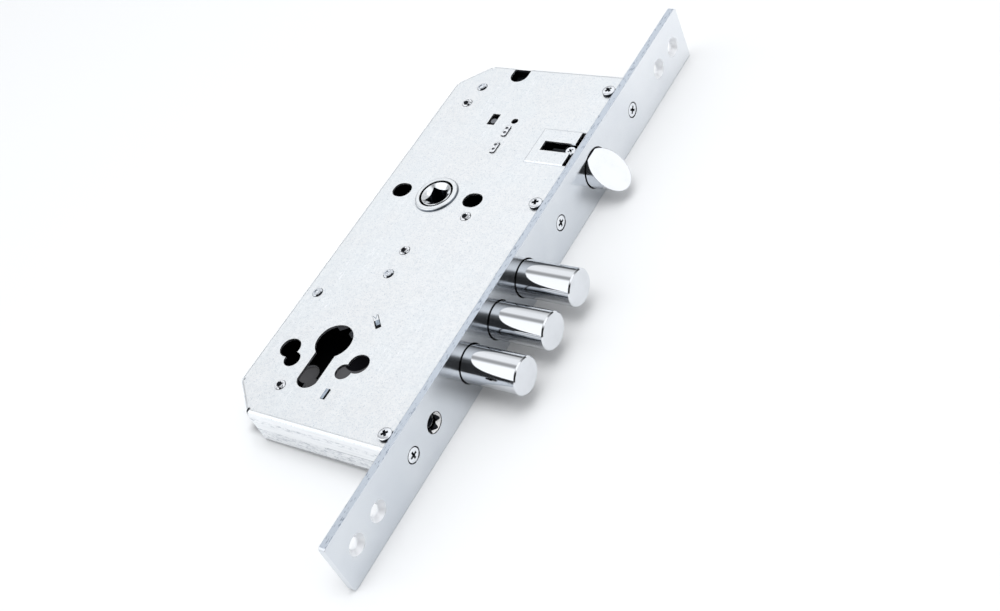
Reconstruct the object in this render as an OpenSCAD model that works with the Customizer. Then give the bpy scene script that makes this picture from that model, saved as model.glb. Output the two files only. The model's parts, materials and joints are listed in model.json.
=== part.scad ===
// Mortise lock body for a door edge: a sheet steel case with three round deadbolts,
// a round bevelled latch, a square follower for the handle and a profile cylinder hole.
// Frame: the origin is on the follower axis at mid thickness, +X points out of the door
// edge along the throw of the bolts, +Y points up the door, +Z points out of the case's face.

/* [Case] */
// Follower axis to the outer face of the forend
backset = 60; // [58:0.5:66]
// Follower axis to the back of the case
case_rear = 32; // [31.5:0.5:37]
// Follower axis up to the top edge of the case
case_rise = 83.9; // [83:0.1:91]
// Cylinder axis down to the bottom edge of the case
case_foot = 42; // [40:0.5:55]
// Overall thickness of the case
case_t = 19; // [19:0.5:22]
// Thickness of the case sheet
sheet_t = 1.2; // [1:0.1:1.4]
// Leg of the two chamfered rear corners
corner_cut = 13.7; // [10:0.1:15]
// Outer radius of the bends between the face and its folded walls
bend_r = 1.8; // [1.6:0.1:2.6]
// Width of the relief notch where two bends meet
relief_w = 1.2; // [0.8:0.1:2]
// Height of the pressed pad over the latch
pad_h = 0.6; // [0.5:0.1:1]

/* [Forend] */
// Length of the forend
forend_len = 300; // [290:1:320]
// Width of the forend
forend_w = 28; // [26:1:32]
// Thickness of the forend
forend_t = 3; // [2.5:0.5:4]
// Follower axis to the top end of the forend
forend_rise = 126.5; // [120:0.5:130]
// Corner radius of the forend
forend_r = 1.5; // [0.5:0.5:4]
// Distance between the two door screws at each end
door_hole_pitch = 15; // [13:0.5:18]
// Clear diameter of a door screw hole
door_hole_d = 5; // [4.5:0.1:5.5]
// Outer diameter of a door screw countersink
door_sink_d = 9; // [8.5:0.1:10]

/* [Deadbolts] */
// Diameter of each deadbolt
bolt_d = 16; // [14:0.5:16]
// Distance from one deadbolt to the next
bolt_pitch = 23; // [21:0.5:23.5]
// Follower axis down to the first deadbolt
bolt_drop = 28.7; // [28.5:0.1:30]
// Throw of the deadbolts, two turns of the key
bolt_throw = 26; // [22:1:26]
// Gap round a bolt in its hole in the forend
bolt_gap = 0.45; // [0.3:0.05:0.6]

/* [Latch] */
// Diameter of the latch head
latch_d = 17.5; // [15:0.5:17.5]
// Follower axis up to the latch axis
latch_rise = 36.2; // [35.5:0.1:37]
// Throw of the latch
latch_throw = 14; // [11:0.5:14]
// Fall of the bevel across one millimetre of width
bevel_slope = 0.8; // [0.6:0.05:0.9]

/* [Follower] */
// Side of the square for the handle spindle
square_side = 8.1; // [7.1:0.1:9.1]
// Turn of the follower that draws the latch fully in
follower_turn = 31; // [28:1:31]
// Distance between the two handle fixing slots
handle_spread = 39; // [38.5:0.5:40]
// Length of a handle fixing slot
handle_slot_len = 9.6; // [8.6:0.1:9.8]
// Width of a handle fixing slot
handle_slot_w = 8.3; // [7:0.1:8.5]

/* [Cylinder] */
// Follower axis down to the cylinder axis
cylinder_drop = 85; // [84.5:0.5:88]
// Diameter of the round part of the profile hole
profile_d = 17.3; // [17.1:0.1:17.5]
// Width of the straight part of the profile hole
profile_w = 10.3; // [10.1:0.1:10.5]
// Height of the profile hole
profile_h = 33.3; // [33.1:0.1:33.6]
// Cylinder axis down to its fixing screw
fix_screw_drop = 19.5; // [19:0.1:20]
// Clear diameter of the fixing screw hole
fix_screw_d = 5.5; // [5.2:0.1:6]

/* [Hidden] */
$fn = 64;
eps = 0.01;

// faces of the case
front_x = backset - forend_t;
back_x = -case_rear;
top_y = case_rise;
bottom_y = -cylinder_drop - case_foot;
outer_z = case_t / 2;
inner_z = outer_z - sheet_t;
pad_inner_z = outer_z + pad_h - 1.05;
relief_depth = bend_r + 0.8;

// general clearances
slide_gap = 0.3;
pivot_gap = 0.08;
screw_gap = 0.1;

// forend
screw_y = [top_y - 10.9, 2.9, bottom_y + 6.7];
forend_screw_head_d = 7.2;
screw_shank_d = 4;
door_hole_end = [11, 12];
door_hole_y = [forend_rise - door_hole_end[0],
               forend_rise - door_hole_end[0] - door_hole_pitch,
               forend_rise - forend_len + door_hole_end[1] + door_hole_pitch,
               forend_rise - forend_len + door_hole_end[1]];
fix_screw_y = -cylinder_drop - fix_screw_drop;
fix_sink_d = 9.2;

// fixing blocks behind the forend and the face screws in them
block_w = 8.6;
block_depth = 11;
face_screw_x = front_x - 6;
face_screw_head_d = 6;
face_screw_head_h = 1.7;
face_screw_len = 7;

// bolts and their carriage
bolt_y = [for (i = [0:2]) -bolt_drop - i * bolt_pitch];
bolt_tail_x = front_x - 13.5;
bolt_slot_depth = 9;
rivet_x = bolt_tail_x + 4.8;
rivet_d = 4;
carriage_t = 2.5;
carriage_rear_x = back_x + sheet_t + bolt_throw + 1.4;
carriage_top_y = 1.2 - bolt_drop;
carriage_bar_w = 5;

// posts staked through both sides of the case
post_d = 4.8;
post_proud = 0.4;
guide_post_x = back_x + 35.4;
guide_post = [[guide_post_x, -4.3 - bolt_drop], [guide_post_x, -17.8 - bolt_drop]];
tumbler_post = [back_x + 7.2, 21.8 - cylinder_drop];
link_post = [[back_x + 14, top_y - 26.4], [back_x + 16, top_y - 15.1]];
brace_post = [[21.5, -9.5], [-10.8, -26 - cylinder_drop]];
post_collar_d = 6.4;
post_collar_h = 1;
sleeve_bore_gap = 0.1;

// tumbler
tumbler_z = carriage_t / 2 + 0.4;
tumbler_t = 2.4;
tumbler_lift = 3;
stump_d = 3.8;
stump_at = [9, 21.5 - cylinder_drop];
talon_pitch = bolt_throw / 2;
talon_y = 10 - cylinder_drop;
talon_depth = 5.7;
talon_gap_w = 10.6;

// spring on the tumbler's post
tumbler_wire_d = 0.8;
tumbler_coil_r = post_d / 2 + 0.9;
tumbler_coil_z = tumbler_z + tumbler_t + 0.7;
spring_leg = 12;
tumbler_peg_d = 2;
tumbler_peg = tumbler_post + [spring_leg - 2, 0.7];
tumbler_turn = asin(tumbler_lift / (stump_at.x - tumbler_post.x));

// follower
journal_d = 15;
collar_bore_d = journal_d + 1;
collar_foot_d = 20.4;
collar_h = 1;
hub_d = 24;
hub_half = inner_z - slide_gap;
follower_arm_z = 1.8;
follower_arm_t = 3.4;
arm_reach = 32;
arm_half_w = 4;
lobe_reach = 18.5;
plunger_y = -15.5;
plunger_head = [3, 6, 6];
plunger_rod_d = 2.8;
spring_bracket_x = 30;
bracket_t = 1.5;

// latch
latch_tip_x = backset + latch_throw;
latch_tail_x = front_x - 16.5;
latch_shoulder_x = front_x - 10;
bevel_mid = 6.9;
tail_rod_d = 7.2;
tail_bar_t = 2.5;
tail_end_x = -9;
draw_pin_d = 3.8;
draw_pin = [-arm_half_w - draw_pin_d / 2 - 0.4,
            (latch_throw - arm_half_w * (1 / cos(follower_turn) - 1)) / tan(follower_turn)];
latch_bracket_x = 11.7;
latch_bracket_t = 2;
latch_bracket_tab = [31.8, 42.5];
tab_len = 6.4;
latch_screw_x = front_x - 7;
latch_screw_d = 3;
latch_screw_head_d = 5.1;
latch_screw_head_h = 1.4;
latch_screw_seat_z = latch_d / 2 - latch_screw_head_h;
latch_slot_w = latch_screw_head_d + 2 * slide_gap;
pad_x = 31.5;
pad_len_y = 21;

// rod link along the back of the case
link_travel = 11;
link_z = -5.6;
link_t = 1.6;
stud_d = 3;
stud_at = [carriage_rear_x + 3.9, -25.8 - bolt_drop];
link_far = [stud_at.x - bolt_throw, stud_at.y + link_travel];
pip_d = 3.2;
pip_h = 1;
rod_x = -0.4;
rod_notch_w = 9;
rod_notch_depth = 9.7;
socket_top_y = top_y - sheet_t - slide_gap;
socket_len = 11;
socket_w = 9.2;
socket_half_z = 4;
rod_core_d = 5;

// windows in the face
window_at = [0, 45.5];
window_size = [4.1, 7];
peep_at = [13.6, 49.2];
peep_d = 3.3;
lobe_big = [18.6, -7.8 - cylinder_drop];
lobe_small = [14, -12.9 - cylinder_drop];
lobe_big_d = 9.7;
lobe_small_d = 7.6;
lug_at = [[13.6, 13.8 - cylinder_drop], [12.8, -24.7 - cylinder_drop]];
lug_turn = [-46, 90];
lug_size = [[7.4, 2.2], [4.8, 2]];

// Unit vector.
function unit(v) = v / norm(v);

// Slot with round ends from point a to point b, its straight sides set in by a hair.
module slanted_slot2d(a, b, r) {
    d = b - a;
    half = r - 0.02;
    translate(a) circle(r = r);
    translate(b) circle(r = r);
    translate(a) rotate(atan2(d.y, d.x)) translate([0, -half]) square([norm(d), 2 * half]);
}

// Level slot with round ends, from point a to len further along.
module slot2d(a, len, r) {
    translate(a) circle(r = r);
    translate(a + [len, 0]) circle(r = r);
    translate(a - [0, r]) square([len, 2 * r]);
}

// Corners of the case with its chamfered rear, counterclockwise, shrunk by inset.
function case_corners(inset = 0) =
    let (d = inset * (sqrt(2) - 1)) [
        [front_x - inset, bottom_y + inset],
        [front_x - inset, top_y - inset],
        [back_x + corner_cut + d, top_y - inset],
        [back_x + inset, top_y - corner_cut - d],
        [back_x + inset, bottom_y + corner_cut + d],
        [back_x + corner_cut + d, bottom_y + inset]
    ];

// Profile cylinder hole.
module profile_hole() {
    foot_r = 4.6;
    foot_y = profile_d / 2 - profile_h;
    translate([0, -cylinder_drop]) {
        circle(d = profile_d);
        translate([-profile_w / 2, foot_y + foot_r]) square([profile_w, -foot_y - foot_r]);
        intersection() {
            translate([-profile_w / 2, foot_y]) square([profile_w, 2 * foot_r]);
            translate([0, foot_y + profile_w / 2 + 0.3]) circle(r = profile_w / 2 + 0.3);
        }
    }
}

// Holes that the face and the cover share, for handles, escutcheons and cylinder.
module furniture_holes() {
    circle(d = collar_bore_d);
    reach = (handle_slot_len - handle_slot_w) / 2;
    for (side = [-1, 1]) {
        translate([side * handle_spread / 2, 0])
            slot2d([-reach, 0], 2 * reach, handle_slot_w / 2);
        translate([side * lobe_big.x, lobe_big.y]) circle(d = lobe_big_d);
        translate([side * lobe_small.x, lobe_small.y]) circle(d = lobe_small_d);
    }
    profile_hole();
}

// Centres of every staked post.
posts = concat(guide_post, [tumbler_post], link_post, brace_post);

// Holes for the posts and for the tabs of the latch bracket.
module fastening_holes() {
    for (p = posts) translate(p) circle(d = post_d + 2 * sleeve_bore_gap);
    for (y = latch_bracket_tab)
        translate([latch_bracket_x - 0.15, y - tab_len / 2 - 0.15])
            square([latch_bracket_t + 0.3, tab_len + 0.3]);
    lug_slot(1);
}

// Slot that a stop lug is staked into.
module lug_slot(i) {
    translate(lug_at[i]) rotate(lug_turn[i]) square(lug_size[i] + [0.3, 0.3], center = true);
}

// Slot in the pad for the latch screw, with the cross slit close to the forend.
module latch_slot() {
    slit_w = 2;
    slit_len = 20.5;
    slot_end_x = latch_screw_x - latch_throw;
    translate([slot_end_x, latch_rise - latch_slot_w / 2])
        square([front_x - 4.5 - slot_end_x, latch_slot_w]);
    translate([front_x - 5.5, latch_rise - slit_len / 2]) square([slit_w, slit_len]);
}

// Turns a flat outline in the plane across the throw: its x becomes Y, its y becomes Z.
module across_throw(x) {
    translate([x, 0, 0]) rotate([90, 0, 90]) children();
}

// Cylinder along the throw.
module x_rod(x, len, d, y = 0, z = 0) {
    translate([x, y, z]) rotate([0, 90, 0]) cylinder(h = len, d = d);
}

// Countersunk hole along the throw with its mouth on the outer face of the forend.
module x_sunk_hole(y, d, sink_d) {
    sink_depth = (sink_d - d) / 2;
    x_rod(front_x - 1, forend_t + 2, d, y);
    translate([backset + eps, y, 0]) rotate([0, -90, 0])
        cylinder(h = sink_depth, d1 = sink_d, d2 = d);
}

// What a bend takes off the upper edge from corner a to corner b; the case lies on its left.
module bend_waste(a, b, top, r) {
    d = b - a;
    translate([a.x, a.y, top]) rotate(atan2(d.y, d.x)) translate([-r, 0, 0])
        rotate([90, 0, 90]) linear_extrude(norm(d) + 2 * r) difference() {
            translate([-1, -r]) square([r + 1, r + 1]);
            translate([r, -r]) circle(r = r);
        }
}

// Block of the case's outline with its five folded upper edges rounded.
module folded_block(inset, low, top, r) {
    p = case_corners(inset);
    difference() {
        translate([0, 0, low]) linear_extrude(top - low) polygon(p);
        for (i = [1:5]) bend_waste(p[i], p[(i + 1) % 6], top, r);
    }
}

// Raised pad over the latch with sloping edges, drawn for the +Z side.
module pad_solid() {
    slope = pad_h + eps;
    top = outer_z + pad_h;
    half = pad_len_y / 2;
    intersection() {
        translate([0, latch_rise, 0]) rotate([90, 0, 90]) linear_extrude(front_x) polygon([
            [-half, inner_z], [half, inner_z], [half, outer_z - eps],
            [half - slope, top], [slope - half, top], [-half, outer_z - eps]
        ]);
        translate([0, latch_rise + pad_len_y, 0]) rotate([90, 0, 0])
            linear_extrude(2 * pad_len_y) polygon([
                [pad_x, inner_z], [front_x + 1, inner_z], [front_x + 1, top],
                [pad_x + slope, top], [pad_x, outer_z - eps]
            ]);
    }
}

// Pad and follower collar that stand proud of either side of the case.
module pressed_forms() {
    shoulder_x = collar_foot_d / 2 - collar_h;
    pad_solid();
    translate([0, 0, outer_z - eps]) rotate_extrude() intersection() {
        square([collar_foot_d, collar_h + eps]);
        union() {
            square([shoulder_x, collar_h + eps]);
            translate([shoulder_x, 0]) circle(r = collar_h + eps);
        }
    }
}

// Hollow under the pad and the holes that both sides share.
module shared_cuts() {
    translate([pad_x + sheet_t, latch_rise - pad_len_y / 2 + sheet_t, inner_z - 1])
        cube([front_x - pad_x - 2 * sheet_t, pad_len_y - 2 * sheet_t, pad_inner_z - inner_z + 1]);
    translate([0, 0, inner_z - 1]) linear_extrude(case_t) {
        furniture_holes();
        fastening_holes();
    }
}

// Face of the case with its walls folded down from it, and the openings in both.
module case_tray() {
    corners = case_corners();
    color("whitesmoke") difference() {
        union() {
            difference() {
                folded_block(0, -inner_z, outer_z, bend_r);
                folded_block(sheet_t, -outer_z, inner_z, bend_r - sheet_t);
            }
            pressed_forms();
        }
        shared_cuts();
        // relief notches where two bends meet
        for (i = [2:5]) {
            to_centre = unit(corners[i - 1] - corners[i]) + unit(corners[(i + 1) % 6] - corners[i]);
            translate([corners[i].x, corners[i].y, outer_z - relief_depth])
                rotate(atan2(to_centre.y, to_centre.x)) translate([-1, -relief_w / 2, 0])
                    cube([relief_depth + 1, relief_w, relief_depth + 1]);
        }
        // way out for the upright rod, and the notch in the face that opens it to view
        translate([rod_x - rod_notch_w / 2, top_y - sheet_t - 1, -rod_notch_w / 2])
            cube([rod_notch_w, sheet_t + 2, rod_notch_w]);
        translate([rod_x, top_y - rod_notch_depth + rod_notch_w / 2, inner_z - 0.3])
            linear_extrude(case_t) {
                circle(d = rod_notch_w);
                translate([-rod_notch_w / 2, 0]) square([rod_notch_w, rod_notch_depth]);
            }
        // openings in the face
        translate([0, 0, inner_z - 1]) linear_extrude(case_t) {
            latch_slot();
            translate(window_at) square(window_size);
            translate(peep_at) circle(d = peep_d);
            lug_slot(0);
            for (y = screw_y) translate([face_screw_x, y]) circle(d = screw_shank_d + 0.4);
        }
        // openings in the front wall
        for (y = bolt_y) x_rod(front_x - 3, 4, bolt_d + 2 * bolt_gap, y);
        x_rod(front_x - 3, 4, latch_d + 2 * bolt_gap, latch_rise);
        for (y = screw_y) x_rod(front_x - 3, 4, screw_shank_d + 0.4, y);
        x_rod(front_x - 3, 4, fix_screw_d, fix_screw_y);
    }
}

// Flat plate that closes the folded case at the back.
module cover_plate() {
    color("gainsboro") difference() {
        mirror([0, 0, 1]) difference() {
            union() {
                translate([0, 0, inner_z]) linear_extrude(sheet_t) polygon(case_corners());
                pressed_forms();
            }
            shared_cuts();
        }
        // clearance under the latch where it passes the front wall
        x_rod(front_x - 3, 4, latch_d + 2 * bolt_gap, latch_rise);
    }
}

module forend() {
    mid_y = forend_rise - forend_len / 2;
    inner = [forend_len / 2 - forend_r, forend_w / 2 - forend_r];
    color("lightsteelblue") difference() {
        across_throw(front_x) linear_extrude(forend_t) translate([mid_y, 0]) {
            square([forend_len, 2 * inner.y], center = true);
            square([2 * inner.x, forend_w], center = true);
            for (sx = [-1, 1], sy = [-1, 1])
                translate([sx * inner.x, sy * inner.y]) circle(r = forend_r);
        }
        for (y = bolt_y) x_rod(front_x - 1, forend_t + 2, bolt_d + 2 * bolt_gap, y);
        x_rod(front_x - 1, forend_t + 2, latch_d + 2 * bolt_gap, latch_rise);
        for (y = door_hole_y) x_sunk_hole(y, door_hole_d, door_sink_d);
        for (y = screw_y)
            x_sunk_hole(y, screw_shank_d + 2 * screw_gap, forend_screw_head_d + 2 * screw_gap);
        x_sunk_hole(fix_screw_y, fix_screw_d, fix_sink_d);
    }
}

module fixing_blocks() {
    color("darkgray") for (y = screw_y) difference() {
        translate([front_x - sheet_t - block_depth, y - block_w / 2, -inner_z])
            cube([block_depth, block_w, 2 * inner_z]);
        x_rod(front_x - sheet_t - block_depth - 1, block_depth + 2,
              screw_shank_d + 2 * screw_gap, y);
        translate([face_screw_x, y, screw_shank_d / 2 + screw_gap])
            cylinder(h = inner_z, d = screw_shank_d + 2 * screw_gap);
    }
}

module forend_screws() {
    sink_h = (forend_screw_head_d - screw_shank_d) / 2;
    color("silver") for (y = screw_y) translate([backset, y, 0]) rotate([0, -90, 0]) {
        cylinder(h = sink_h, d1 = forend_screw_head_d, d2 = screw_shank_d);
        cylinder(h = forend_t + sheet_t + block_depth - 1, d = screw_shank_d);
    }
}

module face_screws() {
    rim_h = face_screw_head_h - 0.6;
    color("silver") for (y = screw_y) translate([face_screw_x, y, outer_z]) {
        cylinder(h = rim_h, d = face_screw_head_d);
        translate([0, 0, rim_h])
            cylinder(h = 0.6, d1 = face_screw_head_d, d2 = face_screw_head_d - 1.6);
        translate([0, 0, sheet_t - face_screw_len])
            cylinder(h = face_screw_len, d = screw_shank_d);
    }
}

// Fixed bush that leads the cylinder's fixing screw through the front of the case.
module fixing_screw_bush() {
    bush_len = 9;
    color("darkgray") difference() {
        x_rod(front_x - sheet_t - bush_len, bush_len, fix_screw_d + 4, fix_screw_y);
        x_rod(front_x - sheet_t - bush_len - 1, bush_len + 2, fix_screw_d, fix_screw_y);
    }
}

module case_posts() {
    dimple_d = 1.8;
    color("silver") for (p = posts) translate([p.x, p.y, 0]) difference() {
        union() {
            translate([0, 0, -outer_z]) cylinder(h = case_t + post_proud, d = post_d);
            translate([0, 0, -inner_z]) cylinder(h = post_collar_h, d = post_collar_d);
        }
        translate([0, 0, outer_z + post_proud - 0.6])
            cylinder(h = 1, d1 = 0.6, d2 = dimple_d + 0.8);
    }
}

// Spacer sleeves that hold the bolt carriage at mid thickness on its two posts.
module guide_sleeves() {
    low_z = -inner_z + post_collar_h;
    half = carriage_t / 2 + 0.1;
    color("dimgray") for (p = guide_post, span = [[low_z, -half], [half, inner_z]])
        translate([p.x, p.y, span[0]]) difference() {
            cylinder(h = span[1] - span[0], d = post_collar_d);
            translate([0, 0, -1])
                cylinder(h = span[1] - span[0] + 2, d = post_d + 2 * sleeve_bore_gap);
        }
}

// Tabs staked into the face beside the cylinder: one stops the tumbler, one braces the case.
module stop_lugs() {
    z0 = [tumbler_z, -outer_z];
    color("gray") for (i = [0, 1]) translate([lug_at[i].x, lug_at[i].y, z0[i]])
        rotate(lug_turn[i]) translate([-lug_size[i].x / 2, -lug_size[i].y / 2, 0])
            cube([lug_size[i].x, lug_size[i].y, outer_z + 0.3 - z0[i]]);
}

// Round bolt with a slot at the tail for the carriage plate.
module deadbolt(i) {
    tip_chamfer = 0.6;
    len = backset + bolt_throw - bolt_tail_x;
    color("silver") difference() {
        translate([bolt_tail_x, bolt_y[i], 0]) rotate([0, 90, 0]) {
            cylinder(h = len - tip_chamfer, d = bolt_d);
            translate([0, 0, len - tip_chamfer])
                cylinder(h = tip_chamfer, d1 = bolt_d, d2 = bolt_d - 2 * tip_chamfer);
        }
        translate([bolt_tail_x - 1, bolt_y[i] - bolt_d / 2 - 1, -carriage_t / 2])
            cube([bolt_slot_depth + 1, bolt_d + 2, carriage_t]);
        translate([rivet_x, bolt_y[i], -bolt_d / 2 - 1])
            cylinder(h = bolt_d + 2, d = rivet_d + 2 * screw_gap);
    }
}

module deadbolt_top() { deadbolt(0); }
module deadbolt_middle() { deadbolt(1); }
module deadbolt_bottom() { deadbolt(2); }

module bolt_rivets() {
    len = bolt_d - 1.2;
    color("gray") for (y = bolt_y) translate([rivet_x, y, -len / 2])
        cylinder(h = len, d = rivet_d);
}

// Plate that joins the bolts: guide slots, tumbler gating and two talons for the cam.
module bolt_carriage() {
    head_x = bolt_tail_x + bolt_slot_depth - 0.5;
    head_top = bolt_y[0] + bolt_d / 2;
    bar_x = bolt_tail_x - carriage_bar_w;
    foot_y = bolt_y[2] - bolt_d / 2;
    lane_half = stump_d / 2 + slide_gap;
    lane_y = stump_at.y + tumbler_lift;
    talon_top = talon_y + talon_depth;
    color("lightslategray") translate([0, 0, -carriage_t / 2]) linear_extrude(carriage_t)
        difference() {
            polygon([
                [carriage_rear_x, carriage_top_y], [bar_x, carriage_top_y], [bar_x, head_top],
                [head_x, head_top], [head_x, foot_y], [bar_x, foot_y],
                [bar_x - 6, talon_y], [carriage_rear_x, talon_y]
            ]);
            for (p = guide_post) slot2d(p, bolt_throw, post_d / 2 + slide_gap);
            // open slot that passes the tumbler's post
            translate([tumbler_post.x + bolt_throw, tumbler_post.y]) {
                circle(r = post_d / 2 + slide_gap);
                translate([-bolt_throw, -post_d / 2 - slide_gap])
                    square([bolt_throw, post_d + 2 * slide_gap]);
            }
            // gating: a long lane with a notch for each stop of the throw
            slot2d([stump_at.x, lane_y], bolt_throw, lane_half);
            for (i = [0:2]) translate([stump_at.x + i * talon_pitch, stump_at.y]) {
                circle(r = lane_half);
                translate([-lane_half, 0]) square([2 * lane_half, tumbler_lift]);
            }
            // talons
            for (i = [0, 1])
                translate([talon_pitch * (i + 0.5) - talon_gap_w / 2, talon_y - 1])
                    square([talon_gap_w, talon_top - talon_y + 1]);
            for (y = bolt_y) translate([rivet_x, y]) circle(d = rivet_d + 2 * screw_gap);
            translate(stud_at) circle(d = stud_d + 2 * screw_gap);
        }
}

// Stud under the carriage that works the rod link.
module link_stud() {
    stud_low = link_z - 0.5;
    head_h = 1;
    color("gray") translate([stud_at.x, stud_at.y, 0]) {
        translate([0, 0, stud_low])
            cylinder(h = carriage_t / 2 - stud_low, d = stud_d);
        translate([0, 0, -carriage_t / 2 - head_h]) cylinder(h = head_h, d = stud_d + 2);
    }
}

// Tumbler lever, drawn lifted as the cam holds it: when it drops, its stump locks the carriage.
module tumbler() {
    boss_r = 4.2;
    nose_x = stump_at.x + 4.8;
    nose_y = stump_at.y - 3.8;
    belly_y = talon_y + 2.2;
    belly_x = [-9.5, -4, 5, 8];
    neck = tumbler_post + [10.3, -5.2];
    translate([tumbler_post.x, tumbler_post.y, 0]) rotate(tumbler_turn)
        translate([-tumbler_post.x, -tumbler_post.y, 0])
            color("slategray") difference() {
                union() {
                    translate([0, 0, tumbler_z]) linear_extrude(tumbler_t) {
                        translate(tumbler_post) circle(r = boss_r);
                        polygon([
                            tumbler_post + [0, boss_r], [nose_x - 3, tumbler_post.y + 4.6],
                            [nose_x, nose_y + 6.4], [nose_x, nose_y], [belly_x[3], nose_y],
                            [belly_x[2], belly_y], [belly_x[1], belly_y],
                            [belly_x[0], belly_y - 3.2], neck, tumbler_post - [0, boss_r]
                        ]);
                    }
                    translate([stump_at.x, stump_at.y, -carriage_t / 2 - 0.3])
                        cylinder(h = tumbler_z + carriage_t / 2 + 1, d = stump_d);
                    // peg under the leg of the spring
                    translate([tumbler_peg.x, tumbler_peg.y, tumbler_z])
                        cylinder(h = inner_z - slide_gap - tumbler_z, d = tumbler_peg_d);
                }
                translate([tumbler_post.x, tumbler_post.y, tumbler_z - 1])
                    cylinder(h = tumbler_t + 2, d = post_d + 2 * pivot_gap);
            }
}

module follower() {
    journal_len = case_t + 2 * collar_h - 0.2;
    color("silver") difference() {
        union() {
            translate([0, 0, -journal_len / 2]) cylinder(h = journal_len, d = journal_d);
            translate([0, 0, -hub_half]) cylinder(h = 2 * hub_half, d = hub_d);
            // arm that draws the latch
            translate([0, 0, follower_arm_z]) linear_extrude(follower_arm_t) {
                translate([-arm_half_w, 0]) square([2 * arm_half_w, arm_reach - 2]);
                translate([-arm_half_w + 1.5, 0]) square([2 * arm_half_w - 3, arm_reach]);
                for (s = [-1, 1]) translate([s * (arm_half_w - 2), arm_reach - 2]) circle(r = 2);
            }
            // lobe that works the return plunger
            translate([0, 0, -plunger_head.z / 2]) linear_extrude(plunger_head.z)
                translate([0, -lobe_reach + 4]) {
                    circle(r = 4);
                    translate([-4, 0]) square([8, lobe_reach - 4]);
                }
        }
        translate([0, 0, -journal_len / 2 - 1])
            linear_extrude(journal_len + 2) square(square_side, center = true);
    }
}

module follower_plunger() {
    face_x = 4 + slide_gap;
    rod_end_x = spring_bracket_x + bracket_t + 2.5;
    color("lightslategray") {
        translate([face_x, plunger_y - plunger_head.y / 2, -plunger_head.z / 2])
            cube(plunger_head);
        x_rod(face_x + 1, rod_end_x - face_x - 1, plunger_rod_d, plunger_y);
    }
}

module spring_bracket() {
    foot_len = 8;
    foot_z = -inner_z;
    color("gray") difference() {
        union() {
            translate([spring_bracket_x, plunger_y - 3.6, foot_z])
                cube([bracket_t, 7.2, inner_z + 3.6]);
            translate([spring_bracket_x, plunger_y - 3.6, foot_z])
                cube([foot_len, 7.2, bracket_t]);
        }
        x_rod(spring_bracket_x - 1, bracket_t + 2, plunger_rod_d + 2 * slide_gap, plunger_y);
    }
}

module latch_head() {
    bore_depth = 12.5;
    reach = latch_d;
    color("silver") translate([0, latch_rise, 0]) difference() {
        union() {
            x_rod(latch_shoulder_x, latch_tip_x - latch_shoulder_x, latch_d);
            x_rod(latch_tail_x, latch_shoulder_x - latch_tail_x + 1, 2 * inner_z - 0.8);
        }
        // bevel
        rotate([90, 0, 0]) linear_extrude(2 * reach, center = true) polygon([
            [backset + bevel_mid - bevel_slope * reach, reach],
            [backset + bevel_mid + bevel_slope * reach, -reach],
            [latch_tip_x + reach, -reach], [latch_tip_x + reach, reach]
        ]);
        x_rod(latch_tail_x - 1, bore_depth + 1, tail_rod_d + 2 * screw_gap);
        translate([latch_screw_x, 0, latch_screw_seat_z])
            cylinder(h = latch_d, d = latch_screw_head_d + 2 * screw_gap);
        translate([latch_screw_x, 0, 0])
            cylinder(h = latch_d, d = latch_screw_d + 2 * screw_gap);
    }
}

module latch_screw() {
    tip_z = 1;
    color("silver") translate([latch_screw_x, latch_rise, 0]) {
        translate([0, 0, latch_screw_seat_z])
            cylinder(h = latch_screw_head_h, d = latch_screw_head_d);
        translate([0, 0, tip_z]) cylinder(h = latch_screw_seat_z - tip_z + eps, d = latch_screw_d);
    }
}

// Tail of the latch: a rod into the head, then a flat bar with the pin that the arm draws.
module latch_tail() {
    rod_x0 = 24;
    rod_x1 = latch_tail_x + 12.3;
    bar_h = tail_rod_d - 0.6;
    drop_w = 6;
    color("lightslategray") difference() {
        union() {
            x_rod(rod_x0, rod_x1 - rod_x0, tail_rod_d, latch_rise);
            translate([tail_end_x, latch_rise - bar_h / 2, -tail_bar_t / 2])
                cube([rod_x0 - tail_end_x + 1, bar_h, tail_bar_t]);
            translate([tail_end_x, draw_pin.y - 3, -tail_bar_t / 2])
                cube([drop_w, latch_rise - draw_pin.y + 3, tail_bar_t]);
            translate([draw_pin.x, draw_pin.y, -tail_bar_t / 2])
                cylinder(h = tail_bar_t / 2 + follower_arm_z + follower_arm_t, d = draw_pin_d);
        }
        translate([latch_screw_x, latch_rise, 0.8])
            cylinder(h = tail_rod_d, d = latch_screw_d + 2 * screw_gap);
    }
}

// Upright plate that guides the tail and backs the spring, tabbed into both sides.
module latch_bracket() {
    plate_y0 = latch_bracket_tab[0] - tab_len / 2 - 1;
    plate_y1 = latch_bracket_tab[1] + tab_len / 2 + 1;
    color("gray") difference() {
        union() {
            translate([latch_bracket_x, plate_y0, -inner_z])
                cube([latch_bracket_t, plate_y1 - plate_y0, 2 * inner_z]);
            for (y = latch_bracket_tab)
                translate([latch_bracket_x, y - tab_len / 2, -outer_z])
                    cube([latch_bracket_t, tab_len, case_t + 0.3]);
        }
        x_rod(latch_bracket_x - 1, latch_bracket_t + 2, tail_rod_d + 2 * slide_gap, latch_rise);
    }
}

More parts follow.
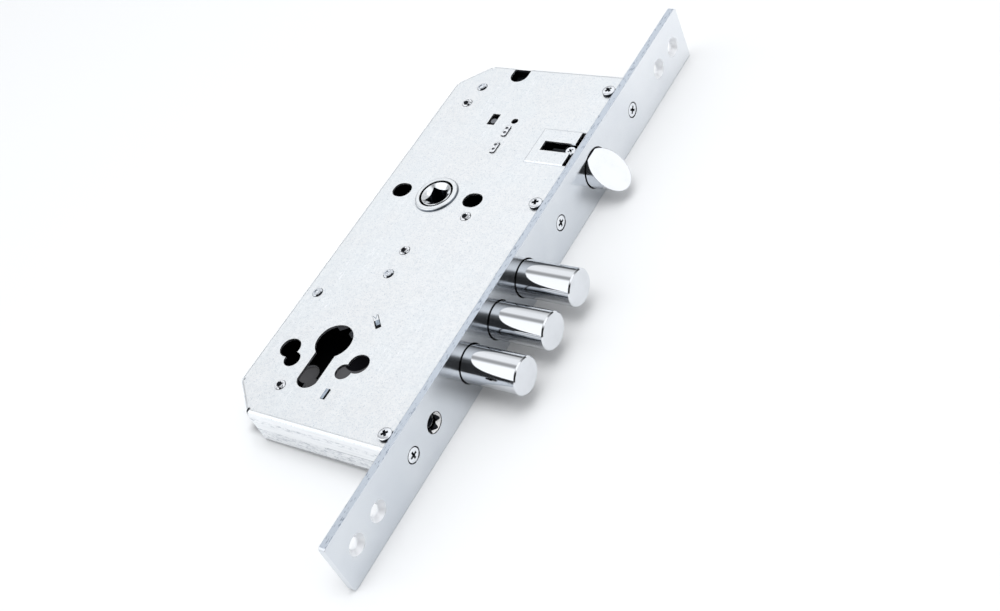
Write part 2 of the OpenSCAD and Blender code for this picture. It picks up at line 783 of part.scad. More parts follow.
// Link plate: the carriage's stud rides in its slanted slot and lifts the rod.
module rod_link() {
    side_x = back_x + sheet_t + 1.6;
    strip_x1 = -handle_spread / 2 - handle_slot_len / 2 - 0.8;
    end_r = 3.7;
    along = unit(link_far - stud_at);
    down = (end_r - 0.1) * [-along.y, along.x];
    arm_end = stud_at - along / 2;
    low = arm_end + down;
    high = arm_end - down;
    fork = [link_post[0].x - post_d / 2 - slide_gap, link_post[1].x + post_d / 2 + slide_gap];
    bar_right = fork[1] + 4;
    bar_top = top_y - sheet_t - 3.7;
    step_y = [bar_top - 35, bar_top - 17];
    pip = [bar_right + 0.4, step_y[1] - 4.2];
    strip_top = bar_top - 55;
    socket_x = [rod_x - socket_w / 2, rod_x + socket_w / 2];
    color("cadetblue") translate([0, 0, link_z]) difference() {
        union() {
            translate(stud_at) cylinder(h = link_t, r = end_r);
            // pip that shows through the upright window
            translate(pip) cylinder(h = link_t + pip_h, d = pip_d);
            linear_extrude(link_t) polygon([
                low, low + along * (side_x - low.x) / along.x,
                [side_x, bar_top - 13], [side_x + 9.2, bar_top - 2], [bar_right, bar_top],
                [bar_right, step_y[1]], [socket_x[0], step_y[1]], [socket_x[0], socket_top_y],
                [socket_x[1], socket_top_y], [socket_x[1], step_y[0]], [bar_right, step_y[0]],
                [bar_right, strip_top], [strip_x1, strip_top],
                high + along * (strip_x1 - high.x) / along.x, high
            ]);
        }
        translate([0, 0, -1]) linear_extrude(link_t + 2) {
            slanted_slot2d(stud_at, link_far, stud_d / 2 + slide_gap);
            translate([fork[0], link_post[0].y - post_d / 2 - slide_gap])
                square([fork[1] - fork[0], 30]);
        }
    }
}

module rod_socket() {
    color("gray") difference() {
        translate([rod_x - socket_w / 2, socket_top_y - socket_len, link_z + link_t])
            cube([socket_w, socket_len, socket_half_z - link_z - link_t]);
        translate([rod_x, socket_top_y + 1, 0]) rotate([90, 0, 0])
            cylinder(h = socket_len + 2, d = rod_core_d);
    }
}

// Direction of a path at point i.
function path_dir(p, i) = unit(p[min(i + 1, len(p) - 1)] - p[max(i - 1, 0)]);

// Side direction at point i: the given outward direction made square to the path.
function path_side(p, out, i) =
    let (t = path_dir(p, i)) unit(out[i] - t * (out[i] * t));

// Six points round the path at point i.
function wire_ring(p, out, r, i) =
    let (t = path_dir(p, i), n = path_side(p, out, i), b = cross(t, n))
    [for (k = [0:5]) p[i] + r * (cos(60 * k) * n + sin(60 * k) * b)];

// One unbroken six-sided wire along the path.
module wire(p, out, d) {
    n = len(p);
    pts = [for (i = [0:n - 1]) each wire_ring(p, out, d / 2, i)];
    skin = [for (i = [0:n - 2], k = [0:5])
        let (a = 6 * i + k, b = 6 * i + (k + 1) % 6) each [[a, a + 6, b + 6], [a, b + 6, b]]];
    ends = [for (k = [1:4]) each [[0, k, k + 1], [6 * n - 6, 6 * n - 5 + k, 6 * n - 6 + k]]];
    polyhedron(points = pts, faces = concat(skin, ends), convexity = 10);
}

// Least gap of a wire to itself, on points over half a turn apart.
function wire_gap(p, d) = min([for (i = [0:len(p) - 5], j = [i + 4:len(p) - 1])
    norm(p[i] - p[j])]) - d;

// Points and outward directions of a spring along the throw, eight points to a turn.
function coil_path(x0, x1, y, r, turns, d) =
    let (n = 8 * turns, lead = d, a = [for (i = [0:n]) 360 * i / 8],
         dir = [for (v = a) [0, cos(v), sin(v)]], pitch = (x1 - x0 - 2 * lead) / n)
    [concat([[x0, y, 0] + r * dir[0]],
            [for (i = [0:n]) [x0 + lead + pitch * i, y, 0] + r * dir[i]],
            [[x1, y, 0] + r * dir[n]]),
     concat([dir[0]], dir, [dir[n]])];

latch_wire_d = 1;
latch_coil = coil_path(latch_bracket_x + latch_bracket_t, latch_tail_x, latch_rise,
                       tail_rod_d / 2 + 1.3, 9, latch_wire_d);

module latch_spring() {
    echo(latch_spring_gap = wire_gap(latch_coil[0], latch_wire_d));
    color("goldenrod") wire(latch_coil[0], latch_coil[1], latch_wire_d);
}

plunger_wire_d = 0.7;
plunger_coil = coil_path(4 + slide_gap + plunger_head.x, spring_bracket_x, plunger_y,
                         plunger_rod_d / 2 + 0.8, 10, plunger_wire_d);

module follower_spring() {
    echo(follower_spring_gap = wire_gap(plunger_coil[0], plunger_wire_d));
    color("goldenrod") wire(plunger_coil[0], plunger_coil[1], plunger_wire_d);
}

// Torsion spring on the tumbler's post: one leg over the lever's peg, one to the back wall.
function torsion_path() =
    let (n = 18, rise = 1.3 / 8, c = [tumbler_post.x, tumbler_post.y, tumbler_coil_z],
         a = [for (i = [0:n]) 90 + 45 * i], dir = [for (v = a) [cos(v), sin(v), 0]],
         wall_x = back_x + sheet_t + tumbler_wire_d / 2 + 2 * slide_gap)
    [concat([c + [spring_leg, tumbler_coil_r, 0]],
            [for (i = [0:n]) c + [0, 0, rise * i] + tumbler_coil_r * dir[i]],
            [[wall_x, c.y - 7.3, c.z + rise * n]]),
     concat([[0, 1, 0]], dir, [[-1, 0, 0]])];

module tumbler_spring() {
    p = torsion_path();
    echo(tumbler_spring_gap = wire_gap(p[0], tumbler_wire_d));
    color("goldenrod") wire(p[0], p[1], tumbler_wire_d);
}

case_tray();
cover_plate();
forend();
fixing_blocks();
forend_screws();
face_screws();
fixing_screw_bush();
case_posts();
guide_sleeves();
stop_lugs();
deadbolt_top();
deadbolt_middle();
deadbolt_bottom();
bolt_rivets();
bolt_carriage();
link_stud();
tumbler();
tumbler_spring();
follower();
follower_plunger();
follower_spring();
spring_bracket();
latch_head();
latch_screw();
latch_tail();
latch_bracket();
latch_spring();
rod_link();
rod_socket();
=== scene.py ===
# %% [markdown]
# A mortise lock body lies on a white table. The construction model already has every piece at its
# real size, so this lesson gives the pieces their metal, models the screw heads, the thread and
# the staked ends that a close look needs, and sets the camera, the table and the light.

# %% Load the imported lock
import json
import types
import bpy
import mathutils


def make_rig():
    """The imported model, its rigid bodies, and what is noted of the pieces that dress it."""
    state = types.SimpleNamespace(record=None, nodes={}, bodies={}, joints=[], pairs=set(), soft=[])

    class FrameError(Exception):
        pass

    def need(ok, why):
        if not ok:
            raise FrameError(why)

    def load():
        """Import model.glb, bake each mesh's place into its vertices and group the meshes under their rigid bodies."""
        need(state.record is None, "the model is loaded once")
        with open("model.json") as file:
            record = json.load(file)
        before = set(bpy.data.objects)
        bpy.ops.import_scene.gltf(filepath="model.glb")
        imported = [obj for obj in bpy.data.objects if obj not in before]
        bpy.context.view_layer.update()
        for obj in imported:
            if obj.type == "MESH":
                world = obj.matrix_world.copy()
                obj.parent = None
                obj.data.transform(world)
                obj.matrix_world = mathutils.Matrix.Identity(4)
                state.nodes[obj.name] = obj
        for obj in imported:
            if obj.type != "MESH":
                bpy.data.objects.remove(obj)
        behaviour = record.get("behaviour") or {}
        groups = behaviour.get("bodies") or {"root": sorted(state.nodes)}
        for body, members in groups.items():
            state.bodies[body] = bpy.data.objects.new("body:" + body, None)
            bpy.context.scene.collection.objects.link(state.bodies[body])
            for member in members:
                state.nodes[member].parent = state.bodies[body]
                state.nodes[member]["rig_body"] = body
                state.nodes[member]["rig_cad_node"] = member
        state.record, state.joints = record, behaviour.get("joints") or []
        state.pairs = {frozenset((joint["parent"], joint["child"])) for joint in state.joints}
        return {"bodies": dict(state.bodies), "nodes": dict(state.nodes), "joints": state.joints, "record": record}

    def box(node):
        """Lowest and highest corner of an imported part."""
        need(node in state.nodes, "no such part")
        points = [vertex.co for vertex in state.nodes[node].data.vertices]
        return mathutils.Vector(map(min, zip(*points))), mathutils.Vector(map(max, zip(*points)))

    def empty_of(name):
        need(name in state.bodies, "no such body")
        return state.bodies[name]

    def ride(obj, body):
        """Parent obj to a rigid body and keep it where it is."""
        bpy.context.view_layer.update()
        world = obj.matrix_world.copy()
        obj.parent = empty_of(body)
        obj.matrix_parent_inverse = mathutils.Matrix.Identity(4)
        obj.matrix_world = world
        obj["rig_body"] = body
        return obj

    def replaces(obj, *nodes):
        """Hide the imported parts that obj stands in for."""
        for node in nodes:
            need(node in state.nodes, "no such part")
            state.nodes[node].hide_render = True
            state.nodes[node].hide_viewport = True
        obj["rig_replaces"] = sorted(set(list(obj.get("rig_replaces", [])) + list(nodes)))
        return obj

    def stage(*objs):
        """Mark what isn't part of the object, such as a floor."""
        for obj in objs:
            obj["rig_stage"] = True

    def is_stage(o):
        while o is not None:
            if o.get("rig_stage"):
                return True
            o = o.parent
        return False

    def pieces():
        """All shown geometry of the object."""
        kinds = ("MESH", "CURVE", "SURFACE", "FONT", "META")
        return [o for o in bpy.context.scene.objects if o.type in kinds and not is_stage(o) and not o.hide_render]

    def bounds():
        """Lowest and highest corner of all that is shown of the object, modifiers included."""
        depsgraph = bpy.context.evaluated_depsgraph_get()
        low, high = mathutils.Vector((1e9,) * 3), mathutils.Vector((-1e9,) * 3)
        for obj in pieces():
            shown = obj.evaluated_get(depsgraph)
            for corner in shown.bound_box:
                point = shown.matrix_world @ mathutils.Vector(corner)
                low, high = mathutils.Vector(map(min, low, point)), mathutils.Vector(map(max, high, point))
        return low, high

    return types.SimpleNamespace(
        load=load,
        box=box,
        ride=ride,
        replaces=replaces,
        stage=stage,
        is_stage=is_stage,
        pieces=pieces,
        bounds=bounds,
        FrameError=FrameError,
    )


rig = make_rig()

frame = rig.load()

import json
import math
import bpy
from mathutils import Matrix, Vector

MM = 0.001
nodes = frame["nodes"]
cad_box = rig.bounds()
face_level = 9.5
sheet_mm = 1.2
pure_white = (1.0, 1.0, 1.0)
deep_black = (0.012, 0.013, 0.016)
case_low, case_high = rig.box("case_tray")
forend_low, forend_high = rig.box("forend")
print("nodes", len(nodes), "bodies", sorted(frame["bodies"]))

# %% [markdown]
# The lock does not lie flat: the lower long edge of its forend and the bottom rear edge of the
# case touch the table. A plane through these two edges is the table, so it leans a little in
# the lock's own frame. A camera at the photograph's place then sees the same slight tilt.

# %% Camera of the photograph
camera_place = Vector((376.1, -317.2, 390.6)) * MM
look_right = Vector((0.81407, 0.47305, -0.33691))
look_down = Vector((0.16205, -0.74210, -0.65040))
focal_px = 1415.1
frame_px = 1000
sensor_mm = 36.0

camera_data = bpy.data.cameras.new("photo_camera")
camera_data.sensor_width = sensor_mm
camera_data.lens = focal_px * sensor_mm / frame_px
camera_data.clip_start = 10 * MM
camera = bpy.data.objects.new("photo_camera", camera_data)
bpy.context.scene.collection.objects.link(camera)
look_back = look_right.cross(-look_down).normalized()
turn = Matrix((look_right, -look_down, look_back)).transposed().to_4x4()
camera.matrix_world = Matrix.Translation(camera_place) @ turn
bpy.context.scene.camera = camera
bpy.context.scene.view_settings.view_transform = "Standard"
print("lens", round(camera_data.lens, 2), "mm")

# %% [markdown]
# Each finish is a node material, and its maths reads best as plain arithmetic. A small class
# wraps a socket, so that noise * 0.5 + 0.2 adds the two Math nodes by itself, and one method
# makes any other node from its type, its settings and what goes into its sockets.

# %% Shader sockets as values
class Value:
    """A socket of a material, with Python's operators adding Math nodes."""

    def __init__(self, tree, socket):
        self.tree = tree
        self.socket = socket

    def node(self, kind, settings=None, inputs=None, out=0):
        """New shader node with its settings and inputs; returns one of its outputs."""
        made = self.tree.nodes.new("ShaderNode" + kind)
        for name, setting in (settings or {}).items():
            setattr(made, name, setting)
        for name, value in (inputs or {}).items():
            if isinstance(value, Value):
                self.tree.links.new(value.socket, made.inputs[name])
            else:
                made.inputs[name].default_value = value
        return Value(self.tree, made.outputs[out] if made.outputs else None)

    def maths(self, operation, first, second=0.0):
        """Result of one Math node."""
        return self.node("Math", {"operation": operation}, {0: first, 1: second})

    def largest(self, other):
        """The larger of this value and another."""
        return self.maths("MAXIMUM", self, other)

    def __add__(self, other):
        return self.maths("ADD", self, other)

    def __radd__(self, other):
        return self.maths("ADD", other, self)

    def __sub__(self, other):
        return self.maths("SUBTRACT", self, other)

    def __rsub__(self, other):
        return self.maths("SUBTRACT", other, self)

    def __mul__(self, other):
        return self.maths("MULTIPLY", self, other)

    def __rmul__(self, other):
        return self.maths("MULTIPLY", other, self)

    def __abs__(self):
        return self.maths("ABSOLUTE", self)

    def above(self, level, soft=0.05):
        """1 where this length is over a level in millimetres, 0 below it."""
        return self.step((level - soft) * MM, (level + soft) * MM)

    def near(self, level, half, soft=0.05):
        """1 where this length is within half a width of a level, all in millimetres."""
        return 1 - abs(self - level * MM).above(half, soft)

    def between(self, first, second):
        """Number that goes from first to second as this value goes from 0 to 1."""
        return first + self * (second - first)

    def step(self, low, high):
        """Smooth step from 0 at low to 1 at high."""
        return self.node("MapRange", {"interpolation_type": "SMOOTHSTEP"},
                         {"Value": self, "From Min": low, "From Max": high})

    def mix(self, first, second):
        """Colour that goes from first to second as this value goes from 0 to 1."""
        colours = [c if isinstance(c, Value) else (*c, 1.0) for c in (first, second)]
        return self.node("Mix", {"data_type": "RGBA"}, {0: self, 6: colours[0], 7: colours[1]}, 2)

    def noise(self, size_mm, stretch=(1, 1, 1), detail=3.0, rough=0.55):
        """Noise whose grain is size_mm wide, stretched along the axes; self is the place."""
        scale = [1 / (size_mm * MM * s) for s in stretch]
        spot = self.node("Mapping", None, {"Vector": self, "Scale": scale})
        return self.node("TexNoise", None,
                         {"Vector": spot, "Scale": 1.0, "Detail": detail, "Roughness": rough})

    def axis(self, name):
        """One coordinate of this place, in metres."""
        return self.node("SeparateXYZ", None, {"Vector": self}, "XYZ".index(name))


edge_lean = (0.02, 0.25)


def new_metal(name):
    """A metal with its shader; returns the material, the shader and the object's place."""
    material = bpy.data.materials.new(name)
    material.use_nodes = True
    tree = material.node_tree
    shader = tree.nodes["Principled BSDF"]
    shader.inputs["Metallic"].default_value = 1.0
    place = Value(tree, tree.nodes.new("ShaderNodeTexCoord").outputs["Object"])
    return material, shader, place


def feed(shader, name, value):
    """Links a value to one of the shader's sockets."""
    value.tree.links.new(value.socket, shader.inputs[name])


def distance_to(place, spot_mm, axes):
    """Distance in metres from a line through a spot, measured along the two axes named."""
    first, second = (place.axis(a) - c * MM for a, c in zip(axes, spot_mm))
    squared = first * first + second * second
    return squared.maths("SQRT", squared)


def disc(place, spot_mm, axes, radius_mm, soft=0.05):
    """1 within a radius of a line through a spot, 0 outside it."""
    return 1 - distance_to(place, spot_mm, axes).above(radius_mm, soft)


def edge_mask(place, width_mm):
    """1 close to a sharp edge, 0 on the flats: how far a rounded normal leans from the true one."""
    rounded = place.node("Bevel", {"samples": 4}, {"Radius": width_mm * MM})
    true_normal = place.node("NewGeometry", out=3)
    lean = place.node("VectorMath", {"operation": "DOT_PRODUCT"}, {0: rounded, 1: true_normal}, 1)
    return (1 - lean).step(*edge_lean)


def soft_edges(place, height, strength, depth_mm, edge_mm):
    """Bump from a height, over edges rounded by edge_mm."""
    edge = place.node("Bevel", {"samples": 6}, {"Radius": edge_mm * MM})
    return place.node("Bump", None, {"Height": height, "Strength": strength,
                                     "Distance": depth_mm * MM, "Normal": edge})


print("shader class ready")

# %% [markdown]
# No light reaches the inner sides of the case, and the wall that the lock lies on has marks of its
# own. Each could be a material of its own on chosen faces. A mask by place is simpler: it needs no
# slots, it can fade softly, and it is built from the case's own size.

# %% Masks for the inside and the bottom wall of the case
chamfer_mm = 13.7


def inside_case(place):
    """1 on what faces the works, 0 on the outer faces and the edges of the openings."""
    x, y, z = (place.axis(a) for a in "XYZ")
    half = sheet_mm / 2
    west, south = (c / MM + half for c in (case_low.x, case_low.y))
    east, north = (c / MM - half for c in (case_high.x, case_high.y))
    corner = sheet_mm - chamfer_mm - half * math.sqrt(2)
    within = x.above(west) * (1 - x.above(east)) * y.above(south) * (1 - y.above(north))
    within = within * (1 - (y - x).above(north - west + corner))
    within = within * (x + y).above(west + south - corner)
    return within * (1 - abs(z).above(face_level - sheet_mm + 0.12, 0.03))


def bottom_wall(place):
    """1 on the flat of the wall under the lock."""
    return 1 - place.axis("Y").above(case_low.y / MM + 0.12, 0.08)


print("case spans", [round(v / MM, 1) for v in (*case_low, *case_high)])

# %% [markdown]
# Marks are painted where the real lock has them. They could be painted by hand on an unwrapped
# mesh, but these follow from a few places. So the places of the screws, openings and folds are
# named first, in millimetres of the lock's own frame.

# %% Places on the case
screw_rows = [73.0, 2.9, -120.3]
face_screw_x = 51.0
face_screw_shade_r = 3.2
scuff_level = 4.2
seam_level = -1.3
seam_start = 20.0
contact_shade_level = 0.9 - face_level
notch_x = -0.4
notch_half = 4.5
collar_foot_r = 10.2
collar_bore_r = 8.0
collar_top = 10.3
pad_edge_x = 31.5
pad_mid_y = 36.2
pad_half_y = 10.5
slot_half_y = 9.2
under_pad_level = 9.08
print("screws in the face at", [(face_screw_x, row) for row in screw_rows])

# %% [markdown]
# The case is zinc plated sheet. Its colour is a pale, cool white with soft clouds, fine darker
# grain and faint rolling streaks along its length. A picture of sheet could give this, but noises
# of different size and stretch never repeat and need no file. They vary the roughness too, so
# the reflection breaks up as well.

# %% Grain of the sheet
def sheet_grain(place):
    """Colour, clouds, streaks and specks of the bare sheet."""
    clouds = place.noise(20, detail=4.0).step(0.35, 0.68)
    streaks = place.noise(0.9, stretch=(1, 24, 1), detail=4.0).step(0.42, 0.72)
    cross = place.noise(1.4, stretch=(9, 1, 1), detail=3.0).step(0.5, 0.75)
    specks = place.noise(1.0, detail=4.0, rough=0.8).step(0.42, 0.62)
    grain = place.noise(0.55, detail=1.0).step(0.56, 0.68)
    dots = place.noise(0.8, detail=2.0).step(0.66, 0.72)
    tone = clouds.mix((0.915, 0.945, 0.965), (0.965, 0.98, 0.99))
    tone = (streaks * 0.30).mix(tone, (0.98, 0.99, 1.0))
    tone = (cross * 0.12).mix(tone, (0.74, 0.79, 0.86))
    tone = (specks * 0.30).mix(tone, (0.80, 0.85, 0.90))
    tone = (grain * 0.55).mix(tone, (0.70, 0.76, 0.82))
    tone = (dots * 0.60).mix(tone, (0.46, 0.53, 0.61))
    return tone, clouds, streaks, specks


print("grain ready")

# %% [markdown]
# The wall under the lock was rolled and scuffed. It has streaks along its length, a band of scuffs, a painted contact
# shade along its foot where it meets the table, and the seam of the folded flange.

# %% Marks of the wall under the lock
def wall_marks(place, tone, wall, rolled):
    """Colour of the case with the marks of its lower wall painted in."""
    level = place.axis("Z")
    scuffs = place.noise(1.1, stretch=(2.2, 1, 1), detail=5.0, rough=0.75).step(0.46, 0.64)
    low_half = 1 - level.above(seam_level, 0.3)
    shade_line = level.near(scuff_level, 1.3, 0.7) * scuffs
    marked = rolled * 0.14 + shade_line * 0.60 + scuffs * low_half * 0.52
    streaked = marked.mix((0.93, 0.945, 0.96), (0.30, 0.34, 0.39))
    # painted shade: the wall darkens along its foot where it meets the table
    contact_shade = 1 - level.above(contact_shade_level, 0.5)
    streaked = (contact_shade * 0.6).mix(streaked, (0.12, 0.13, 0.14))
    tone = wall.mix(tone, streaked)
    seam = level.near(seam_level, 0.12, 0.06) * place.axis("X").above(seam_start)
    return (wall * seam * 0.85).mix(tone, (0.16, 0.18, 0.21))


print("seam at", seam_level, "scuffs at", scuff_level)

# %% [markdown]
# Painted shade lies in the corner round the collar, deepest on the side of the forend, a faint painted shade outlines
# the sloping border of the latch's pad, and each proud screw head has a painted shadow on its right side. All three
# are thin lines at a known distance from a known place, so a distance and two soft steps draw them.

# %% Painted shade on the face
def face_marks(place, tone, wall):
    """Colour of the case with the painted shades of its face."""
    x, y = (place.axis(a) for a in "XY")
    # painted shade in the corner round the collar, deepest towards the forend
    collar_corner_shade = distance_to(place, (0, 0), "XY").near(collar_foot_r, 0.28, 0.2) * (1 - wall)
    toward_forend = (x * 0.76 - y * 0.65).step(-4 * MM, 8 * MM)
    tone = (collar_corner_shade * toward_forend * 0.92).mix(tone, (0.09, 0.115, 0.15))
    # painted shade along the sloping border of the latch's pad
    across_pad = abs(y - pad_mid_y * MM)
    pad_west_shade = x.near(pad_edge_x, 0.22, 0.12) * (1 - across_pad.above(pad_half_y, 0.1))
    pad_side_shade = across_pad.near(pad_half_y, 0.22, 0.12) * x.above(pad_edge_x, 0.1)
    tone = ((pad_west_shade + pad_side_shade) * 0.35).mix(tone, (0.45, 0.50, 0.57))
    # painted shadow on the right side of each proud screw head
    for row in screw_rows:
        round_head = distance_to(place, (face_screw_x, row), "XY")
        side = (x - face_screw_x * MM) * 0.92 - (y - row * MM) * 0.3
        shade = round_head.near(face_screw_shade_r, 0.22, 0.15) * side.above(0.9, 0.8)
        tone = (shade * 0.65).mix(tone, (0.06, 0.07, 0.09))
    return tone


print("pad from", pad_edge_x, "collar of", collar_foot_r)

# %% [markdown]
# Inside the case, under the pad, in the collar's bore and in the rod's way out no light reaches
# the sheet. Real light would leave these dark too, but thin gaps between the plates let some
# through, so they are painted black.

# %% Dark places of the case
def unlit(place):
    """1 where no light reaches the sheet."""
    x, y, level = (place.axis(a) for a in "XYZ")
    lip = x.near(notch_x, notch_half + 0.02, 0.02)
    lip = lip * (1 - level.above(face_level - sheet_mm, 0.05))
    lip = lip * y.above(case_high.y / MM - sheet_mm - 0.3)
    under_pad = x.above(pad_edge_x + 1.0) * (1 - abs(y - pad_mid_y * MM).above(slot_half_y))
    under_pad = under_pad * (1 - abs(level).above(under_pad_level, 0.02))
    bore = disc(place, (0, 0), "XY", collar_bore_r + 0.03, 0.02)
    bore = bore * (1 - level.above(collar_top, 0.03))
    return inside_case(place).largest(lip).largest(under_pad).largest(bore)


print("bore of", collar_bore_r, "slot half", slot_half_y)

# %% [markdown]
# The finish puts these together. Punching leaves a burnished rim round every opening, which catches the light. It
# could be modelled as a thin bevel, but a mask of the edges finds all rims at once and paints a white highlight on
# them.

# %% Zinc plated sheet
def zinc_sheet():
    """Speckled sheet with its marks, painted highlights on its rims and painted shade on its inner side."""
    material, shader, place = new_metal("zinc_sheet")
    tone, clouds, streaks, specks = sheet_grain(place)
    wall = bottom_wall(place)
    rolled = place.noise(0.8, stretch=(30, 1, 1), detail=4.0).step(0.45, 0.66)
    tone = wall_marks(place, tone, wall, rolled)
    # painted highlight: the edges of the openings are painted white, standing for their burnished rims catching the
    # light
    tone = (edge_mask(place, 0.42) * 0.9).mix(tone, pure_white)
    tone = face_marks(place, tone, wall)
    dark = unlit(place)
    feed(shader, "Base Color", dark.mix(tone, deep_black))
    feed(shader, "Roughness", 0.30 + clouds * 0.06 + specks * 0.12 - streaks * 0.05 + dark * 0.35)
    pits = place.noise(0.3, detail=2.0)
    bump = pits + streaks * 0.3 + wall * rolled * 0.8
    feed(shader, "Normal", soft_edges(place, bump, 0.25, 0.02, 0.28))
    return material


case_metal = zinc_sheet()
print("made", case_metal.name)

# %% [markdown]
# The holes of the forend and the bolts that come through it have their places too. Each bolt's
# row is noted with its radius.

# %% Places on the forend and the bolts
fixing_hole_y = -104.5
door_hole_rows = [115.5, 100.5, -146.5, -161.5]
door_sink_r = 5.0
screw_seat_r = 3.72
fixing_sink_r = 4.62
lobe_start = 0.35
lobe_pitch = 3.9
lobe_reach = 0.6
lobe_middle = 1.1
bolt_rows = {-28.7: 8.0, -51.7: 8.0, -74.7: 8.0, 36.2: 8.75}
bolt_end_x = 86.0
print("bolts at", list(bolt_rows), "door screws at", door_hole_rows)

# %% [markdown]
# The hole of the fixing screw is painted black as shade, and three bright lobes of its thread are painted down the
# side that faces the light. A cosine round the hole moves the edge of the painted brightness up and down, which is far
# lighter than modelling the turns in a hole this small.

# %% Lobes in the fixing screw's hole
def thread_lobes(place):
    """1 on the painted bright lobes down the far side of the hole."""
    along, z = place.axis("Y") - fixing_hole_y * MM, place.axis("Z")
    outward = along * 0.66 - z * 0.75
    round_it = along * 0.75 + z * 0.66
    lobes = along.maths("COSINE", (round_it + lobe_start * MM) * (math.tau / (lobe_pitch * MM)))
    depth = forend_high.x - place.axis("X")
    bright = 1 - (depth - lobes * lobe_reach * MM).above(lobe_middle, 0.12)
    return outward.above(0.2, 0.1) * bright * depth.above(0.3, 0.05)


print("lobes every", lobe_pitch, "mm round the hole at", fixing_hole_y)

# %% [markdown]
# The forend is ground and polished steel: almost a mirror, a little blue, with a satin haze. Its long edges were
# sheared, so they are duller than the faces and carry short dark marks. A painted reflection makes it lighter towards
# its upper end, and its sharp edges get a painted white highlight. The seats under the screw heads and the gaps round
# the bolts are narrow and lie in shade, which is painted as a dark ring round each. The countersinks get a painted
# highlight. One material holds all of this, because the plate is one piece.

# %% Polished forend with sheared edges
def polished_forend():
    """Satin steel with sheared edges, painted shade in the seats and painted highlights on the edges and countersinks.
    """
    material, shader, place = new_metal("satin_steel")
    x, y, z = (place.axis(a) for a in "XYZ")
    haze = place.noise(30, detail=3.0).step(0.3, 0.7)
    hairs = place.noise(0.25, stretch=(1, 60, 1), detail=3.0)
    half = (forend_high.z - forend_low.z) / 2
    sheared = abs(z).above(half / MM - 0.08, 0.04)
    marks = place.noise(0.8, stretch=(0.7, 2.4, 1), detail=2.0).step(0.58, 0.66)
    # painted reflection: the colour grows lighter towards the upper end
    upper_reflection = y.step(-20 * MM, 110 * MM)
    tone = haze.mix(upper_reflection.mix((0.66, 0.695, 0.74), (0.80, 0.825, 0.86)),
                    upper_reflection.mix((0.72, 0.75, 0.785), (0.86, 0.88, 0.905)))
    edge_tone = marks.mix((0.66, 0.72, 0.80), (0.36, 0.41, 0.49))
    tone = sheared.mix(tone, edge_tone)
    # painted highlight: the sharp edges, all but the sheared ones, are painted white
    tone = (edge_mask(place, 0.3) * (1 - sheared) * 0.8).mix(tone, pure_white)
    below = 1 - x.above(forend_high.x / MM - 0.05, 0.03)
    # painted shade in the seats under the screw heads, made uneven by a noise
    uneven_shade = place.noise(2.2, detail=2.0).step(0.30, 0.55)
    for row in screw_rows:
        seat = disc(place, (row, 0), "YZ", screw_seat_r) * below
        tone = (seat * uneven_shade.between(0.6, 1.0)).mix(tone, (0.03, 0.033, 0.04))
    # painted shade: a dark ring in the gaps round the bolts
    for row, bolt_r in bolt_rows.items():
        hole = disc(place, (row, 0), "YZ", bolt_r + 0.30, 0.12)
        tone = hole.mix(tone, (0.02, 0.022, 0.027))
    # painted shade and highlight: the fixing screw's countersink is black, with white lobes on the side towards the
    # light
    far_side = thread_lobes(place)
    sink = disc(place, (fixing_hole_y, 0), "YZ", fixing_sink_r) * below
    tone = sink.mix(tone, far_side.mix(deep_black, pure_white))
    # painted highlight: the countersinks of the door screws are matt near-white, so they catch light from all sides
    matt_highlight = sink * far_side
    for row in door_hole_rows:
        matt_highlight = matt_highlight + disc(place, (row, 0), "YZ", door_sink_r) * below * 0.8
    tone = (matt_highlight * (1 - sink)).mix(tone, (0.97, 0.98, 1.0))
    feed(shader, "Base Color", tone)
    feed(shader, "Metallic", 1 - matt_highlight)
    feed(shader, "Roughness", 0.13 + hairs * 0.06 + sheared * 0.25 + matt_highlight * 0.3)
    bump = hairs * 0.2 + sheared * marks * 1.5
    feed(shader, "Normal", soft_edges(place, bump, 0.12, 0.05, 0.3))
    return material


forend_metal = polished_forend()
print("made", forend_metal.name)

# %% [markdown]
# Bolts, latch and follower are chrome plated. Chrome is nearly colourless and very smooth, so what it shows is the
# room. Left plain it would look like glass, so it gets a trace of fine turning lines and smears. Painted shade leaves
# a thin dark ring where a bolt leaves the forend, the part of it inside is painted as dark as the works, and the
# undersides of the deadbolts get painted shade where they lie in each other's shade.

# %% Chrome
ring_mm = 0.42


def chrome(name, tone, roughness, turned_along):
    """Chrome with smears and fine turning lines; turned_along names the axis of the piece."""
    material, shader, place = new_metal(name)
    stretch = [9.0 if a == turned_along else 1.0 for a in "XYZ"]
    smears = place.noise(9, stretch=stretch, detail=3.0).step(0.4, 0.8)
    lines = place.noise(0.2, stretch=[1.0 if a == turned_along else 40.0 for a in "XYZ"])
    dark = tuple(0.86 * c for c in tone)
    shown = (smears * 0.5).mix(tone, dark)
    if turned_along == "X":
        # painted shade on the deadbolts' undersides, deepest next to the forend
        x, y, z = (place.axis(a) for a in "XYZ")
        lower = (1 - z.above(1.0, 2.0)) * (1 - y.above(0.0))
        shank = 1 - x.above(bolt_end_x - 0.6, 0.3)
        close = 1 - x.step(forend_high.x + 4 * MM, forend_high.x + 24 * MM)
        shown = (lower * shank * close.between(0.42, 0.72)).mix(shown, (0.05, 0.055, 0.065))
        # painted shade: the part inside the forend and a thin ring beyond its face are black
        inside = 1 - x.above(forend_high.x / MM + ring_mm, 0.06)
        shown = inside.mix(shown, deep_black)
    feed(shader, "Base Color", shown)
    feed(shader, "Roughness", roughness + smears * 0.05)
    feed(shader, "Normal", soft_edges(place, lines, 0.04, 0.01, 0.3))
    return material


bolt_chrome = chrome("bolt_chrome", (0.76, 0.78, 0.81), 0.05, "X")
follower_chrome = chrome("follower_chrome", (0.86, 0.88, 0.90), 0.16, "Z")
print("made", bolt_chrome.name, follower_chrome.name)

